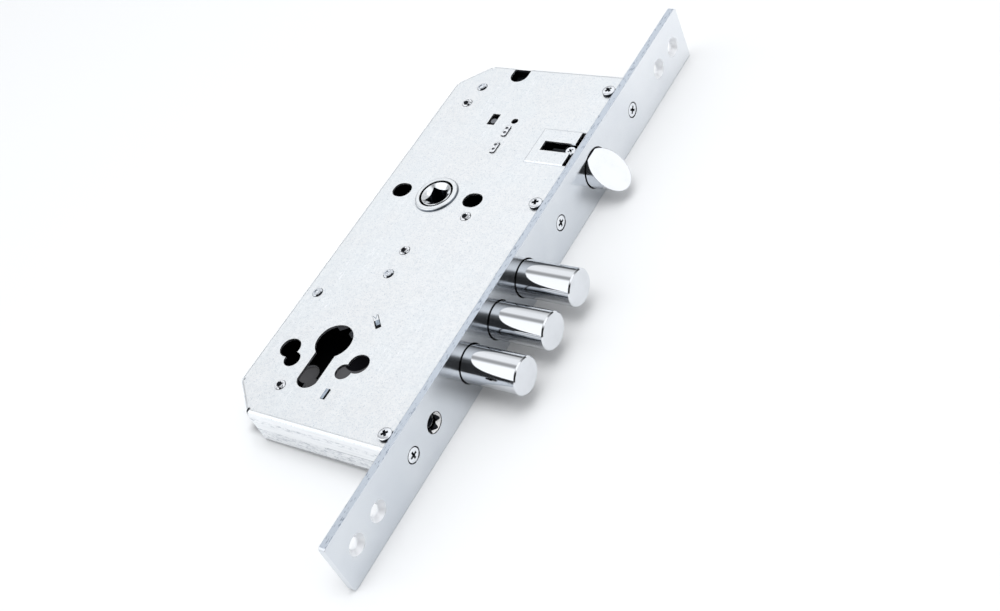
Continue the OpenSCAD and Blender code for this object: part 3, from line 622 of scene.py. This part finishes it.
# %% [markdown]
# The screws and posts are bright turned steel with small dark handling marks, and the works inside are plainer:
# pressed and blackened steel, a touch oily, and drawn spring wire. They show through the windows only, where a darker
# tone, partly painted shade, keeps the openings deep. A near-black steel paints the shade in recesses and on shaded
# sides. One function makes them all, because they differ only in tone, in roughness and in the size of their marks.

# %% Steels of the small and inner pieces
def plain_steel(name, tone, mark_tone, roughness, mark_mm, marked=0.6):
    """Steel with handling marks mark_mm wide; marked says how strongly they show."""
    material, shader, place = new_metal(name)
    marks = place.noise(mark_mm, detail=3.0, rough=0.6).step(0.5, 0.72)
    grain = place.noise(mark_mm * 0.25, detail=2.0)
    feed(shader, "Base Color", (marks * marked).mix(tone, mark_tone))
    feed(shader, "Roughness", roughness + marks * 0.15)
    feed(shader, "Normal", soft_edges(place, grain, 0.2, 0.02, 0.15))
    return material


screw_steel = plain_steel("screw_steel", (0.88, 0.905, 0.94), (0.55, 0.59, 0.66), 0.2, 1.5, 0.4)
post_steel = plain_steel("post_steel", (0.93, 0.95, 0.98), (0.12, 0.13, 0.16), 0.22, 1.2, 0.8)
dull_post_steel = plain_steel("dull_post_steel", (0.86, 0.90, 0.95), (0.16, 0.19, 0.24),
                              0.3, 0.7, 0.9)
inner_steel = plain_steel("inner_steel", (0.22, 0.23, 0.25), (0.06, 0.065, 0.075), 0.5, 3.0)
spring_steel = plain_steel("spring_steel", (0.30, 0.31, 0.34), (0.12, 0.13, 0.15), 0.25, 1.0)
# painted shade: a near-black steel for recesses and the shaded sides of small pieces
recess_steel = plain_steel("recess_steel", (0.03, 0.033, 0.04), deep_black, 0.5, 0.8)
print("made", screw_steel.name, post_steel.name, inner_steel.name, spring_steel.name)

# %% [markdown]
# Little light reaches the works, yet a photograph shows them dark grey where a window lies over
# them. A lamp inside the case would light the rims of the windows too, so the pip and the bolt
# works get a trace of light of their own instead.

# %% Steels that show grey inside the case
def glimmer(material, strength):
    """Gives a steel a trace of light of its own."""
    shader = material.node_tree.nodes["Principled BSDF"]
    shader.inputs["Emission Color"].default_value = (0.36, 0.38, 0.42, 1.0)
    shader.inputs["Emission Strength"].default_value = strength


pip_steel = plain_steel("pip_steel", (0.36, 0.38, 0.42), (0.14, 0.15, 0.17), 0.5, 0.9)
works_steel = plain_steel("works_steel", (0.30, 0.31, 0.33), (0.10, 0.105, 0.115), 0.45, 1.4)
glimmer(pip_steel, 0.55)
glimmer(works_steel, 0.07)
print("made", pip_steel.name, works_steel.name)

# %% [markdown]
# Two lugs beside the cylinder hold a plate inside. Only the staked end of each shows, as a small grey field with a gap
# beside it where the slot is wider than the lug, and the gap is painted black as shade. These fields are under 3 mm,
# so paint does what a cut and its shade would do. Both are painted in their own directions: along the lug and across
# it.

# %% Staked lugs
lug_spots = [(13.6, -71.2), (12.8, -109.7)]
lug_turns = [math.radians(-46), math.radians(90)]
lug_edge = 0.1


def staked_lug():
    """Paint of the two lugs, each in its own directions."""
    material, shader, place = new_metal("lug_steel")
    scuffs = place.noise(1.4, detail=3.0).step(0.4, 0.7)
    along, across = [], []
    for (x, y), turn_z in zip(lug_spots, lug_turns):
        east, north = place.axis("X") - x * MM, place.axis("Y") - y * MM
        along.append(east * math.cos(turn_z) + north * math.sin(turn_z))
        across.append(north * math.cos(turn_z) - east * math.sin(turn_z))
    near_first = place.axis("Y").above(sum(y for x, y in lug_spots) / 2)
    grey = scuffs.mix((0.50, 0.57, 0.66), (0.30, 0.36, 0.43))
    # first lug: sheet over its upper half, painted black shade at its lower end and along its left side
    left = 1 - across[0].above(-0.55, lug_edge)
    gap = along[0].above(2.45, lug_edge) + along[0].above(-1.3, lug_edge) * left
    first = gap.maths("MINIMUM", gap, 1.0).mix(grey, deep_black)
    fold = abs(abs(across[0]) - (along[0] + 1.6 * MM) * -0.45).above(0.18, lug_edge)
    sheet = fold.mix((0.35, 0.40, 0.46), (0.92, 0.94, 0.96))
    first = (1 - along[0].above(-0.5, lug_edge)).mix(first, sheet)
    # second lug: painted black shade along its right side
    second = (1 - across[1].above(-0.45, lug_edge)).mix(grey, deep_black)
    feed(shader, "Base Color", near_first.mix(second, first))
    feed(shader, "Roughness", 0.3 + scuffs * 0.2)
    feed(shader, "Normal", soft_edges(place, scuffs, 0.2, 0.02, 0.15))
    return material


lug_steel = staked_lug()
print("made", lug_steel.name)

# %% [markdown]
# Every node gets its metal here. A list for each metal is easier to read than a line for each
# node. A node that no list names belongs to the inner works, and it is plain dark steel.

# %% Give every node its metal
finish_of = {
    case_metal: ["case_tray", "cover_plate"],
    lug_steel: ["stop_lugs"],
    forend_metal: ["forend"],
    bolt_chrome: ["deadbolt_top", "deadbolt_middle", "deadbolt_bottom", "latch_head"],
    follower_chrome: ["follower"],
    screw_steel: ["forend_screws", "face_screws", "latch_screw"],
    post_steel: ["case_posts"],
    spring_steel: ["latch_spring", "follower_spring", "tumbler_spring"],
    works_steel: ["bolt_carriage", "tumbler"],
}
chosen = {node: metal for metal, members in finish_of.items() for node in members}
for node, shown in nodes.items():
    shown.data.materials.clear()
    shown.data.materials.append(chosen.get(node, inner_steel))
print("dressed", len(nodes), "nodes")

# %% [markdown]
# Turned pieces, such as screw heads and staked ends, all start the same way: half of the section
# is drawn as a line of points and spun once round its axis. They are modelled at the origin in
# millimetres, where they are easy to read, and moved to their place in the lock at the end.

# %% Tools for turned pieces
def only(thing):
    """Selects one object and makes it active."""
    bpy.ops.object.select_all(action="DESELECT")
    thing.select_set(True)
    bpy.context.view_layer.objects.active = thing


def turned(name, section, steps=48):
    """Piece spun round Z from its section, given as (radius, height) in millimetres."""
    mesh = bpy.data.meshes.new(name)
    mesh.from_pydata([(r, 0, z) for r, z in section], [(i, i + 1) for i in range(len(section) - 1)],
                     [])
    piece = bpy.data.objects.new(name, mesh)
    bpy.context.scene.collection.objects.link(piece)
    only(piece)
    bpy.ops.object.mode_set(mode="EDIT")
    bpy.ops.mesh.select_all(action="SELECT")
    bpy.ops.mesh.spin(steps=steps, angle=2 * math.pi, center=(0, 0, 0), axis=(0, 0, 1))
    bpy.ops.mesh.select_all(action="SELECT")
    bpy.ops.mesh.remove_doubles(threshold=0.001)
    bpy.ops.mesh.normals_make_consistent(inside=False)
    bpy.ops.object.mode_set(mode="OBJECT")
    return piece


print("spun pieces ready")

# %% [markdown]
# Holes and recesses are cut with a second piece as the cutter. The Boolean modifier does that, and
# applying it at once leaves a plain mesh. A screw's cross is two flat cutters at right angles, and
# their lower ends are drawn in, as the real punch tapers.

# %% Tools for cuts
def cut_away(piece, cutter):
    """Takes a cutter's form out of a piece and removes the cutter."""
    only(piece)
    cut = piece.modifiers.new("cut", "BOOLEAN")
    cut.operation = "DIFFERENCE"
    cut.solver = "EXACT"
    cut.object = cutter
    bpy.ops.object.modifier_apply(modifier=cut.name)
    bpy.data.objects.remove(cutter)


cross_tip = 0.45


def cut_cross(piece, arm, width, top, depth, taper=0.6):
    """Cuts a cross recess into a screw head; its arms taper to cross_tip of their length."""
    for turn_z in (0, math.pi / 2):
        bpy.ops.mesh.primitive_cube_add(size=1, location=(0, 0, 0))
        cutter = bpy.context.active_object
        cutter.scale = (2 * arm, width, 2 * depth)
        cutter.rotation_euler = (0, 0, turn_z)
        cutter.location = (0, 0, top)
        bpy.ops.object.transform_apply(location=False, rotation=False, scale=True)
        for v in cutter.data.vertices:
            if v.co.z < 0:
                v.co.x *= cross_tip
                v.co.y *= taper
        cut_away(piece, cutter)


print("cuts ready")

# %% [markdown]
# What repeats is modelled once and copied. Each copy gets its own mesh, with its place in the mesh, so that it bakes
# and moves by itself. Recesses and shaded sides get a near-black steel in a second slot, as painted shade.

# %% Tools for copies
def shade_faces(piece, chosen):
    """Puts the faces that a test picks by their centre into the second material slot, for painted shade."""
    if len(piece.data.materials) < 2:
        piece.data.materials.append(None)
        piece.data.materials.append(None)
    for face in piece.data.polygons:
        if chosen(face.center):
            face.material_index = 1


def place_copy(pattern, name, spot_mm, metal, body, axis="Z", spin=0.0):
    """Copy of a pattern piece with its own mesh, its Z turned to the axis, at a place in mm."""
    piece = bpy.data.objects.new(name, pattern.data.copy())
    bpy.context.scene.collection.objects.link(piece)
    lean = {"Z": Matrix.Identity(4), "X": Matrix.Rotation(math.pi / 2, 4, "Y")}[axis]
    piece.data.transform(Matrix.Scale(MM, 4) @ Matrix.Translation(Vector(spot_mm)) @ lean
                         @ Matrix.Rotation(spin, 4, "Z"))
    slots = piece.data.materials
    if len(slots) < 2:
        slots.append(metal)
    else:
        slots[0], slots[1] = metal, recess_steel
    only(piece)
    bpy.ops.object.shade_smooth_by_angle(angle=math.radians(35))
    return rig.ride(piece, body)


print("copies ready")

# %% [markdown]
# Three cross recess screws hold the forend. They are countersunk, so only the flat head with its rounded rim shows,
# set a hair below the surface, and painted shade in the seat draws the dark ring round it. One is spun and cut, and
# three copies are turned by different amounts, as screws are in real life.

# %% Forend screws
forend_face = forend_high.x / MM
sunk_screw = turned("sunk_screw_pattern", [
    (0, -0.1), (2.4, -0.1), (2.9, -0.12), (3.1, -0.2), (3.14, -0.5),
    (2.0, -1.75), (2.0, -14.0), (1.6, -14.6), (0, -14.6)])
cut_cross(sunk_screw, 2.6, 1.2, 0.0, 1.5, 0.7)
# the rim's side and the cross recess take the near-black steel as painted shade
shade_faces(sunk_screw, lambda centre: centre.z < -0.21)
forend_screw_spin = [0.8, -0.05, 0.02]
heads = [place_copy(sunk_screw, f"forend_screw_{i + 1}", (forend_face, y, 0), screw_steel,
                    "lock_case", "X", forend_screw_spin[i]) for i, y in enumerate(screw_rows)]
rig.replaces(heads[0], "forend_screws")
print("forend screws", len(heads), "with", len(heads[0].data.polygons), "faces each")

# %% [markdown]
# The three screws in the face have domed heads that stand proud and throw a small shadow. A
# flattened sphere would have no rim, so the section is an arc over a short straight rim.

# %% Face screws
dome_r = 3.0
dome_h = 1.6
rim_h = 1.1
dome = [(dome_r * math.sin(a), rim_h + (dome_h - rim_h) * math.cos(a))
        for a in [math.radians(12 * k) for k in range(8)]]
dome_screw = turned("dome_screw_pattern", dome + [
    (dome_r, rim_h - 0.05), (dome_r, 0.1), (dome_r - 0.15, 0.0),
    (2.0, 0.0), (2.0, -5.6), (0, -5.6)])
cut_cross(dome_screw, 2.2, 1.3, dome_h, 1.1, 0.75)
# the rim's side and the cross recess take the near-black steel as painted shade
shade_faces(dome_screw, lambda centre: centre.z < rim_h or (
    centre.xy.length < 2.2 and centre.z < dome_h - 0.3))
face_screw_spin = [0.9, 0.4, 0.75]
domes = [place_copy(dome_screw, f"face_screw_{i + 1}", (face_screw_x, y, face_level), screw_steel,
                    "lock_case", "Z", face_screw_spin[i]) for i, y in enumerate(screw_rows)]
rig.replaces(domes[0], "face_screws")
print("face screws", len(domes))

# %% [markdown]
# The latch screw sits deep in its slot and travels with the latch. It is a plain cheese head with
# the same cross recess.

# %% Latch screw
latch_screw_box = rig.box("latch_screw")
latch_spot = (latch_screw_box[0] + latch_screw_box[1]) / 2 / MM
latch_top = latch_screw_box[1].z / MM
latch_head_r = (latch_screw_box[1].x - latch_screw_box[0].x) / 2 / MM
cheese_screw = turned("cheese_screw_pattern", [
    (0, 0), (latch_head_r - 0.35, 0), (latch_head_r, -0.3), (latch_head_r, -1.4), (1.5, -1.4),
    (1.5, -7.7), (0, -7.7)])
cut_cross(cheese_screw, 1.8, 0.75, 0.0, 1.0)
# the cross recess takes the near-black steel as painted shade
shade_faces(cheese_screw, lambda centre: centre.z < -0.05 and centre.xy.length < 1.9)
latch_piece = place_copy(cheese_screw, "latch_screw_head", (latch_spot.x, latch_spot.y, latch_top),
                         screw_steel, "latch", "Z", 0.75)
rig.replaces(latch_piece, "latch_screw")
print("latch screw at", [round(c, 1) for c in latch_spot])

# %% [markdown]
# Two nodes need a change of form: the follower and the rod's socket. Their solids could be built
# again, but a copy keeps every size. A node's mesh is loose triangles, so the copy is merged first.

# %% Tool for reworked nodes
def merged_copy(node, name):
    """Copy of a node's solid with its loose triangles merged, for work on its form."""
    piece = bpy.data.objects.new(name, nodes[node].data.copy())
    bpy.context.scene.collection.objects.link(piece)
    only(piece)
    bpy.ops.object.mode_set(mode="EDIT")
    bpy.ops.mesh.select_all(action="SELECT")
    bpy.ops.mesh.remove_doubles(threshold=0.001 * MM)
    bpy.ops.object.mode_set(mode="OBJECT")
    return piece


print("rework ready")

# %% [markdown]
# The follower's square hole has a countersunk mouth. A cone that meets the four flats leaves
# curved edges between the corners, and its bright slope frames the dark hole. Turned cutters take
# away the mouth and a step round the journal, which leaves a wider dark gap inside the collar.

# %% Follower with a countersunk mouth
follower_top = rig.box("follower")[1].z / MM
journal_r = 7.5
mouth_r = 6.75
mouth_slope = 0.7
step_r = 7.1
step_h = 2.0
follower_piece = merged_copy("follower", "follower_body")
mouth_cutter = turned("mouth_cutter", [
    (0, 0.5), (mouth_r + 0.5 / mouth_slope, 0.5), (0.3, (0.3 - mouth_r) * mouth_slope),
    (0, (0.3 - mouth_r) * mouth_slope)], 64)
step_cutter = turned("step_cutter", [
    (step_r - 0.25, 0.5), (journal_r + 0.4, 0.5), (journal_r + 0.4, -step_h), (step_r, -step_h),
    (step_r, -0.25), (step_r - 0.25, 0.0), (step_r - 0.25, 0.5)], 64)
for cutter in (mouth_cutter, step_cutter):
    for side in (1, -1):
        mesh = cutter.data.copy()
        mesh.transform(Matrix.Scale(MM, 4) @ Matrix.Rotation(0 if side == 1 else math.pi, 4, "X")
                       @ Matrix.Translation((0, 0, follower_top)))
        tool = bpy.data.objects.new("cut_tool", mesh)
        bpy.context.scene.collection.objects.link(tool)
        cut_away(follower_piece, tool)
    bpy.data.objects.remove(cutter)
follower_piece.data.materials.clear()
follower_piece.data.materials.append(follower_chrome)
follower_piece.data.materials.append(recess_steel)
# the upright walls below the mouth and all that lies deeper than the step take the near-black steel as painted shade
for face in follower_piece.data.polygons:
    sunk_mm = follower_top - abs(face.center.z) / MM
    upright = abs(face.normal.z) < 0.2
    face.material_index = int(upright and sunk_mm > 0.3 or sunk_mm > step_h + 0.1)
only(follower_piece)
bpy.ops.object.shade_smooth_by_angle(angle=math.radians(30))
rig.ride(follower_piece, "follower")
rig.replaces(follower_piece, "follower")
print("follower with", len(follower_piece.data.polygons), "faces")

# %% [markdown]
# Seven posts tie the two sides of the case together. Their ends were staked over: a punch spreads the rim and leaves a
# crater, whose floor in the deep ones is painted dark as shade. The right side of the rim and a few spots at its lower
# right get painted shade too. Deep and shallow craters both occur, so there are two patterns. Each is spun, and its
# middle is then moved aside, as a punch never hits the centre.

# %% Staked posts
post_r = 2.4
post_spots = {"deep": [(21.5, -9.5), (3.4, -33.0), (-18.0, 57.5), (-10.8, -111.0)],
              "shallow": [(3.4, -46.5), (-24.8, -63.2), (-16.0, 68.8)]}
crater = {"deep": [(1.6, 0.36), (1.15, 0.1), (0.8, -0.3), (0.4, -0.5), (0, -0.5)],
          "shallow": [(1.6, 0.36), (1.2, 0.16), (0.8, 0.1), (0.4, 0.26), (0, 0.3)]}
punch_shift = Vector((-0.72, 0.2, 0))
shade_spots = {"deep": [(1.3, -1.35, 0.55), (1.75, -0.2, 0.4)],
              "shallow": [(1.7, -0.9, 0.75), (2.0, 0.1, 0.5), (0.9, -1.8, 0.55)]}


def in_shaded_spot(kind, centre):
    """True on the spots at the lower right of a staked end that are painted dark as shade."""
    return any((centre.x - x) ** 2 + (centre.y - y) ** 2 < r * r for x, y, r in shade_spots[kind])


post_length = 19.0
post_spin = 0.12
posts = []
for kind, spots in post_spots.items():
    shaft = [(0, -post_length), (post_r, -post_length), (post_r, -17.8), (3.2, -17.8),
             (3.2, -16.8), (post_r, -16.8), (post_r, -0.05), (2.38, 0.12), (2.2, 0.33),
             (2.0, 0.39), (1.8, 0.39)]
    post = turned(kind + "_post_pattern", shaft + crater[kind], 32)
    for v in post.data.vertices:
        if v.co.xy.length < 1.25 and -1 < v.co.z < 0.35:
            v.co += punch_shift
    # the rim's right side, the spots and the deep crater floors take the near-black steel as painted shade
    shade_faces(post, lambda centre: -1 < centre.z and (
        (centre.xy.length > 2.3 and centre.x > centre.y) or in_shaded_spot(kind, centre) or (
            kind == "deep" and (centre - punch_shift).xy.length < 1.05)))
    metal = {"deep": post_steel, "shallow": dull_post_steel}[kind]
    for spot in spots:
        posts.append(place_copy(post, f"post_{len(posts) + 1}", (*spot, face_level), metal,
                                "lock_case", "Z", post_spin * (len(posts) % 3 - 1)))
    bpy.data.objects.remove(post)
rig.replaces(posts[0], "case_posts")
print("posts", len(posts))

# %% [markdown]
# The two tabs of the latch's bracket come through the face and are flattened there, with two
# punch marks each. A block is bevelled round its four upright corners and its upper rim, and
# two small cutters leave the marks.

# %% Flattened tabs
tab_size = (2.7, 6.6, 0.6)
tab_spots = [(12.7, 31.8), (12.7, 42.5)]


def select_edges(piece, chosen):
    """In edit mode, selects only the edges that a test picks by their two ends."""
    bpy.ops.mesh.select_mode(type="EDGE")
    bpy.ops.mesh.select_all(action="DESELECT")
    bpy.ops.object.mode_set(mode="OBJECT")
    points = piece.data.vertices
    for edge in piece.data.edges:
        edge.select = chosen(*(points[i].co for i in edge.vertices))
    bpy.ops.object.mode_set(mode="EDIT")


bpy.ops.object.select_all(action="DESELECT")
bpy.ops.mesh.primitive_cube_add(size=1, location=(0, 0, 0))
tab = bpy.context.active_object
tab.scale = tab_size
bpy.ops.object.transform_apply(location=False, rotation=False, scale=True)
bpy.ops.object.mode_set(mode="EDIT")
select_edges(tab, lambda a, b: abs(a.z - b.z) > 0.1)
bpy.ops.mesh.bevel(offset=0.9, segments=5, affect="EDGES")
select_edges(tab, lambda a, b: min(a.z, b.z) > 0.2)
bpy.ops.mesh.bevel(offset=0.2, segments=3, affect="EDGES")
bpy.ops.object.mode_set(mode="OBJECT")
for mark_y, mark_x in ((1.5, -0.2), (-1.2, 0.1)):
    bpy.ops.mesh.primitive_uv_sphere_add(segments=16, ring_count=10, radius=0.8,
                                         location=(mark_x, mark_y, 0.45))
    cut_away(tab, bpy.context.active_object)
# the tab's sides and the deep faces of its punch marks take the near-black steel as painted shade
shade_faces(tab, lambda centre: centre.z < 0.2)
tabs = [place_copy(tab, f"tab_{i + 1}", (*spot, face_level + tab_size[2] / 2 - 0.02), post_steel,
                   "lock_case") for i, spot in enumerate(tab_spots)]
bpy.data.objects.remove(tab)
print("tabs", len(tabs), "with", len(tabs[0].data.polygons), "faces each")

# %% [markdown]
# The bush behind the forend is threaded for the fixing screw. A true helix would need a Screw
# modifier and open ends. A stack of rings with pointed crests, spun from one zigzag section, looks
# the same at this size, and it fills the play in the bush's bore.

# %% Thread of the fixing screw's bush
thread_pitch = 0.8
thread_outer_r = 2.74
thread_inner_r = 2.35
thread_rings = 12
thread_mouth_x = 56.5
zigzag = [(thread_outer_r, 0)]
for ring in range(thread_rings):
    zigzag += [(thread_outer_r - 0.03, -thread_pitch * ring - 0.05),
               (thread_inner_r, -thread_pitch * (ring + 0.5))]
zigzag += [(thread_outer_r - 0.03, -thread_pitch * thread_rings),
           (thread_outer_r, -thread_pitch * thread_rings - 0.05), (thread_outer_r, 0)]
thread = turned("thread_pattern", zigzag, 32)
# the thread is near-black steel, as painted shade deep in the bush
place_copy(thread, "bush_thread", (thread_mouth_x, fixing_hole_y, 0), recess_steel,
           "lock_case", "X")
print("thread of", thread_rings, "rings")

# %% [markdown]
# A small riveted pip on the rod link shows grey through the upright window and tells whether the
# rods are thrown. It is spun like the screws and rides on the rod, so it moves with it.

# %% Pip on the rod link
pip_spot = (-9.4, 59.9, -2.75)
pip = turned("pip_pattern", [
    (0, 0), (1.1, -0.02), (1.45, -0.12), (1.6, -0.35), (1.6, -1.15), (0, -1.15)])
place_copy(pip, "link_pip", pip_spot, pip_steel, "rod")
print("pip at", pip_spot)

# %% [markdown]
# The rod's socket is a small block with a threaded hole. Its upper side stands a little higher
# than the link, so it closes the way out for the rod when it is looked at from the face.

# %% Socket of the rod
socket_top_z = 5.1
socket_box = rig.box("rod_socket")
socket = merged_copy("rod_socket", "rod_socket_block")
for v in socket.data.vertices:
    if abs(v.co.z - socket_box[1].z) < 0.01 * MM:
        v.co.z = socket_top_z * MM
socket_bevel = socket.modifiers.new("rim", "BEVEL")
socket_bevel.width = 0.25 * MM
socket_bevel.segments = 2
socket_bevel.limit_method = "ANGLE"
bpy.ops.object.modifier_apply(modifier=socket_bevel.name)
socket.data.materials.clear()
# the socket is near-black steel, as painted shade in the rod's way out
socket.data.materials.append(recess_steel)
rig.ride(socket, "rod")
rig.replaces(socket, "rod_socket")
print("socket", [round(v / MM, 1) for v in (*socket_box[0], *socket_box[1])])

# %% [markdown]
# The pattern pieces have done their work. They would only lie at the origin, so they go.

# %% Put the patterns away
for pattern in (sunk_screw, dome_screw, cheese_screw, thread, pip):
    bpy.data.objects.remove(pattern)
print("patterns removed")

# %% [markdown]
# The table is one large plane through the two edges that the lock rests on. It is white, and it gives the camera a
# little extra white, so that it fades into a clean background and still keeps the lock's soft shadow. Under the case
# it is painted dark grey with a faint glow of its own, as the shade there makes it, and a spot that only shows through
# the small hole beside the cylinder is painted black as shade.

# %% Table
table_m = 8
background_lift = 0.10
shade_lift = 0.03
shade_margin = 3.0
black_spot = (-2.2, -78.4)
black_spot_r = 6.4
white_paper = (0.72, 0.73, 0.74)
shaded_paper = (0.10, 0.10, 0.11)
hidden_paper = (0.008, 0.008, 0.01)
touch_front = Vector((forend_low.x, forend_low.z))
touch_rear = Vector((case_low.x, -face_level * MM))
table_slope = (touch_front.y - touch_rear.y) / (touch_front.x - touch_rear.x)
bpy.ops.mesh.primitive_plane_add(size=table_m)
table = bpy.context.active_object
table.name = "table"
table.rotation_euler = (0, -math.atan(table_slope), 0)
table.location = (0, 0, touch_rear.y - touch_rear.x * table_slope - 0.05 * MM)
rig.stage(table)

paper = bpy.data.materials.new("table_paper")
paper.use_nodes = True
tree = paper.node_tree
tree.nodes.clear()
spot = Value(tree, tree.nodes.new("ShaderNodeTexCoord").outputs["Object"])
beneath = 1.0
for axis, low, high in (("X", case_low.x, forend_high.x), ("Y", case_low.y, case_high.y)):
    along = spot.axis(axis)
    beneath = beneath * along.above(low / MM + shade_margin, shade_margin)
    beneath = beneath * (1 - along.above(high / MM - shade_margin, shade_margin))
rays = tree.nodes.new("ShaderNodeLightPath").outputs
camera_ray, mirror_ray, through_ray = (Value(tree, rays[name]) for name in (
    "Is Camera Ray", "Is Glossy Ray", "Is Transmission Ray"))
lift_power = camera_ray.largest(through_ray).largest(mirror_ray) * background_lift
lift_power = (1 - beneath) * lift_power
dark_spot = disc(spot, black_spot, "XY", black_spot_r, 0.3)
ground = dark_spot.mix(beneath.mix(white_paper, shaded_paper), hidden_paper)
matt = spot.node("BsdfDiffuse", None, {"Color": ground})
lift = spot.node("Emission", None, {
    "Color": (*pure_white, 1.0), "Strength": lift_power + (beneath - dark_spot) * shade_lift})
both = spot.node("AddShader", None, {0: matt, 1: lift})
spot.node("OutputMaterial", None, {"Surface": both})
table.data.materials.append(paper)
print("table slope", round(math.degrees(math.atan(table_slope)), 2), "degrees")

# %% [markdown]
# Polished metal only looks like metal when the room has light and dark in it. Behind the lock
# this room is white on the near side, grey overhead and light grey on the far side, and it falls
# to dark near the table. On the side of the forend it is dark, with a lighter far side and one
# white panel. Bands of light on the round bolts come from these.

# %% Room
world = bpy.data.worlds.new("studio")
bpy.context.scene.world = world
world.use_nodes = True
tree = world.node_tree
tree.nodes.clear()
way = Value(tree, tree.nodes.new("ShaderNodeTexCoord").outputs["Generated"])
east, north, up = (way.axis(a) for a in "XYZ")
white = 1.32
# behind the lock: white on the near side, light grey on the far side, dark near the table
near_side = up.step(0.0, 0.14).between(0.25, white)
far_side = up.step(0.14, 0.38).between(0.08, 0.80) + up.step(0.38, 0.60) * 0.28
overhead = north.step(-0.22, 0.0).between(near_side, 0.44)
behind = north.step(0.10, 0.32).between(overhead, far_side)
# on the side of the forend: dark, but lighter overhead and on the far side, and a white panel
near_front = up.step(0.60, 0.80).between(0.035, 0.12)
far_front = ((up - 0.12) * 1.5).largest(0.08)
panel = east.step(0.62, 0.70) * up.step(0.10, 0.20)
far_front = panel.between(far_front, white)
front = north.step(-0.30, 0.0).between(near_front, far_front)
room = east.step(-0.10, 0.20).between(behind, front)
sky = way.node("Background", None, {"Color": (0.975, 0.985, 1.0, 1.0), "Strength": room})
sky.node("OutputWorld", None, {"Surface": sky})
print("room ready")

# %% [markdown]
# One soft lamp gives the shadow. It isn't mirrored in the lock, because the flat face would burn
# out to white from the one side that catches it.

# %% Lamp
lamp_place = Vector((0.22, -0.08, 1.2))
lamp_data = bpy.data.lights.new("key_lamp", "AREA")
lamp_data.shape = "SQUARE"
lamp_data.size = 0.8
lamp_data.energy = 8.5
lamp = bpy.data.objects.new("key_lamp", lamp_data)
bpy.context.scene.collection.objects.link(lamp)
lamp.location = lamp_place
lamp.rotation_euler = (-lamp_place).to_track_quat("-Z", "Y").to_euler()
lamp.visible_glossy = False
print("lamp of", lamp_data.energy, "W at", [round(c, 2) for c in lamp_place])

# %% [markdown]
# The last step notes the size of the construction model beside that of the dressed lock.

# %% Sizes and finish
json.dump({"cad": [list(corner) for corner in cad_box],
           "visual": [list(corner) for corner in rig.bounds()]}, open("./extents.json", "w"))
print(open("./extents.json").read())
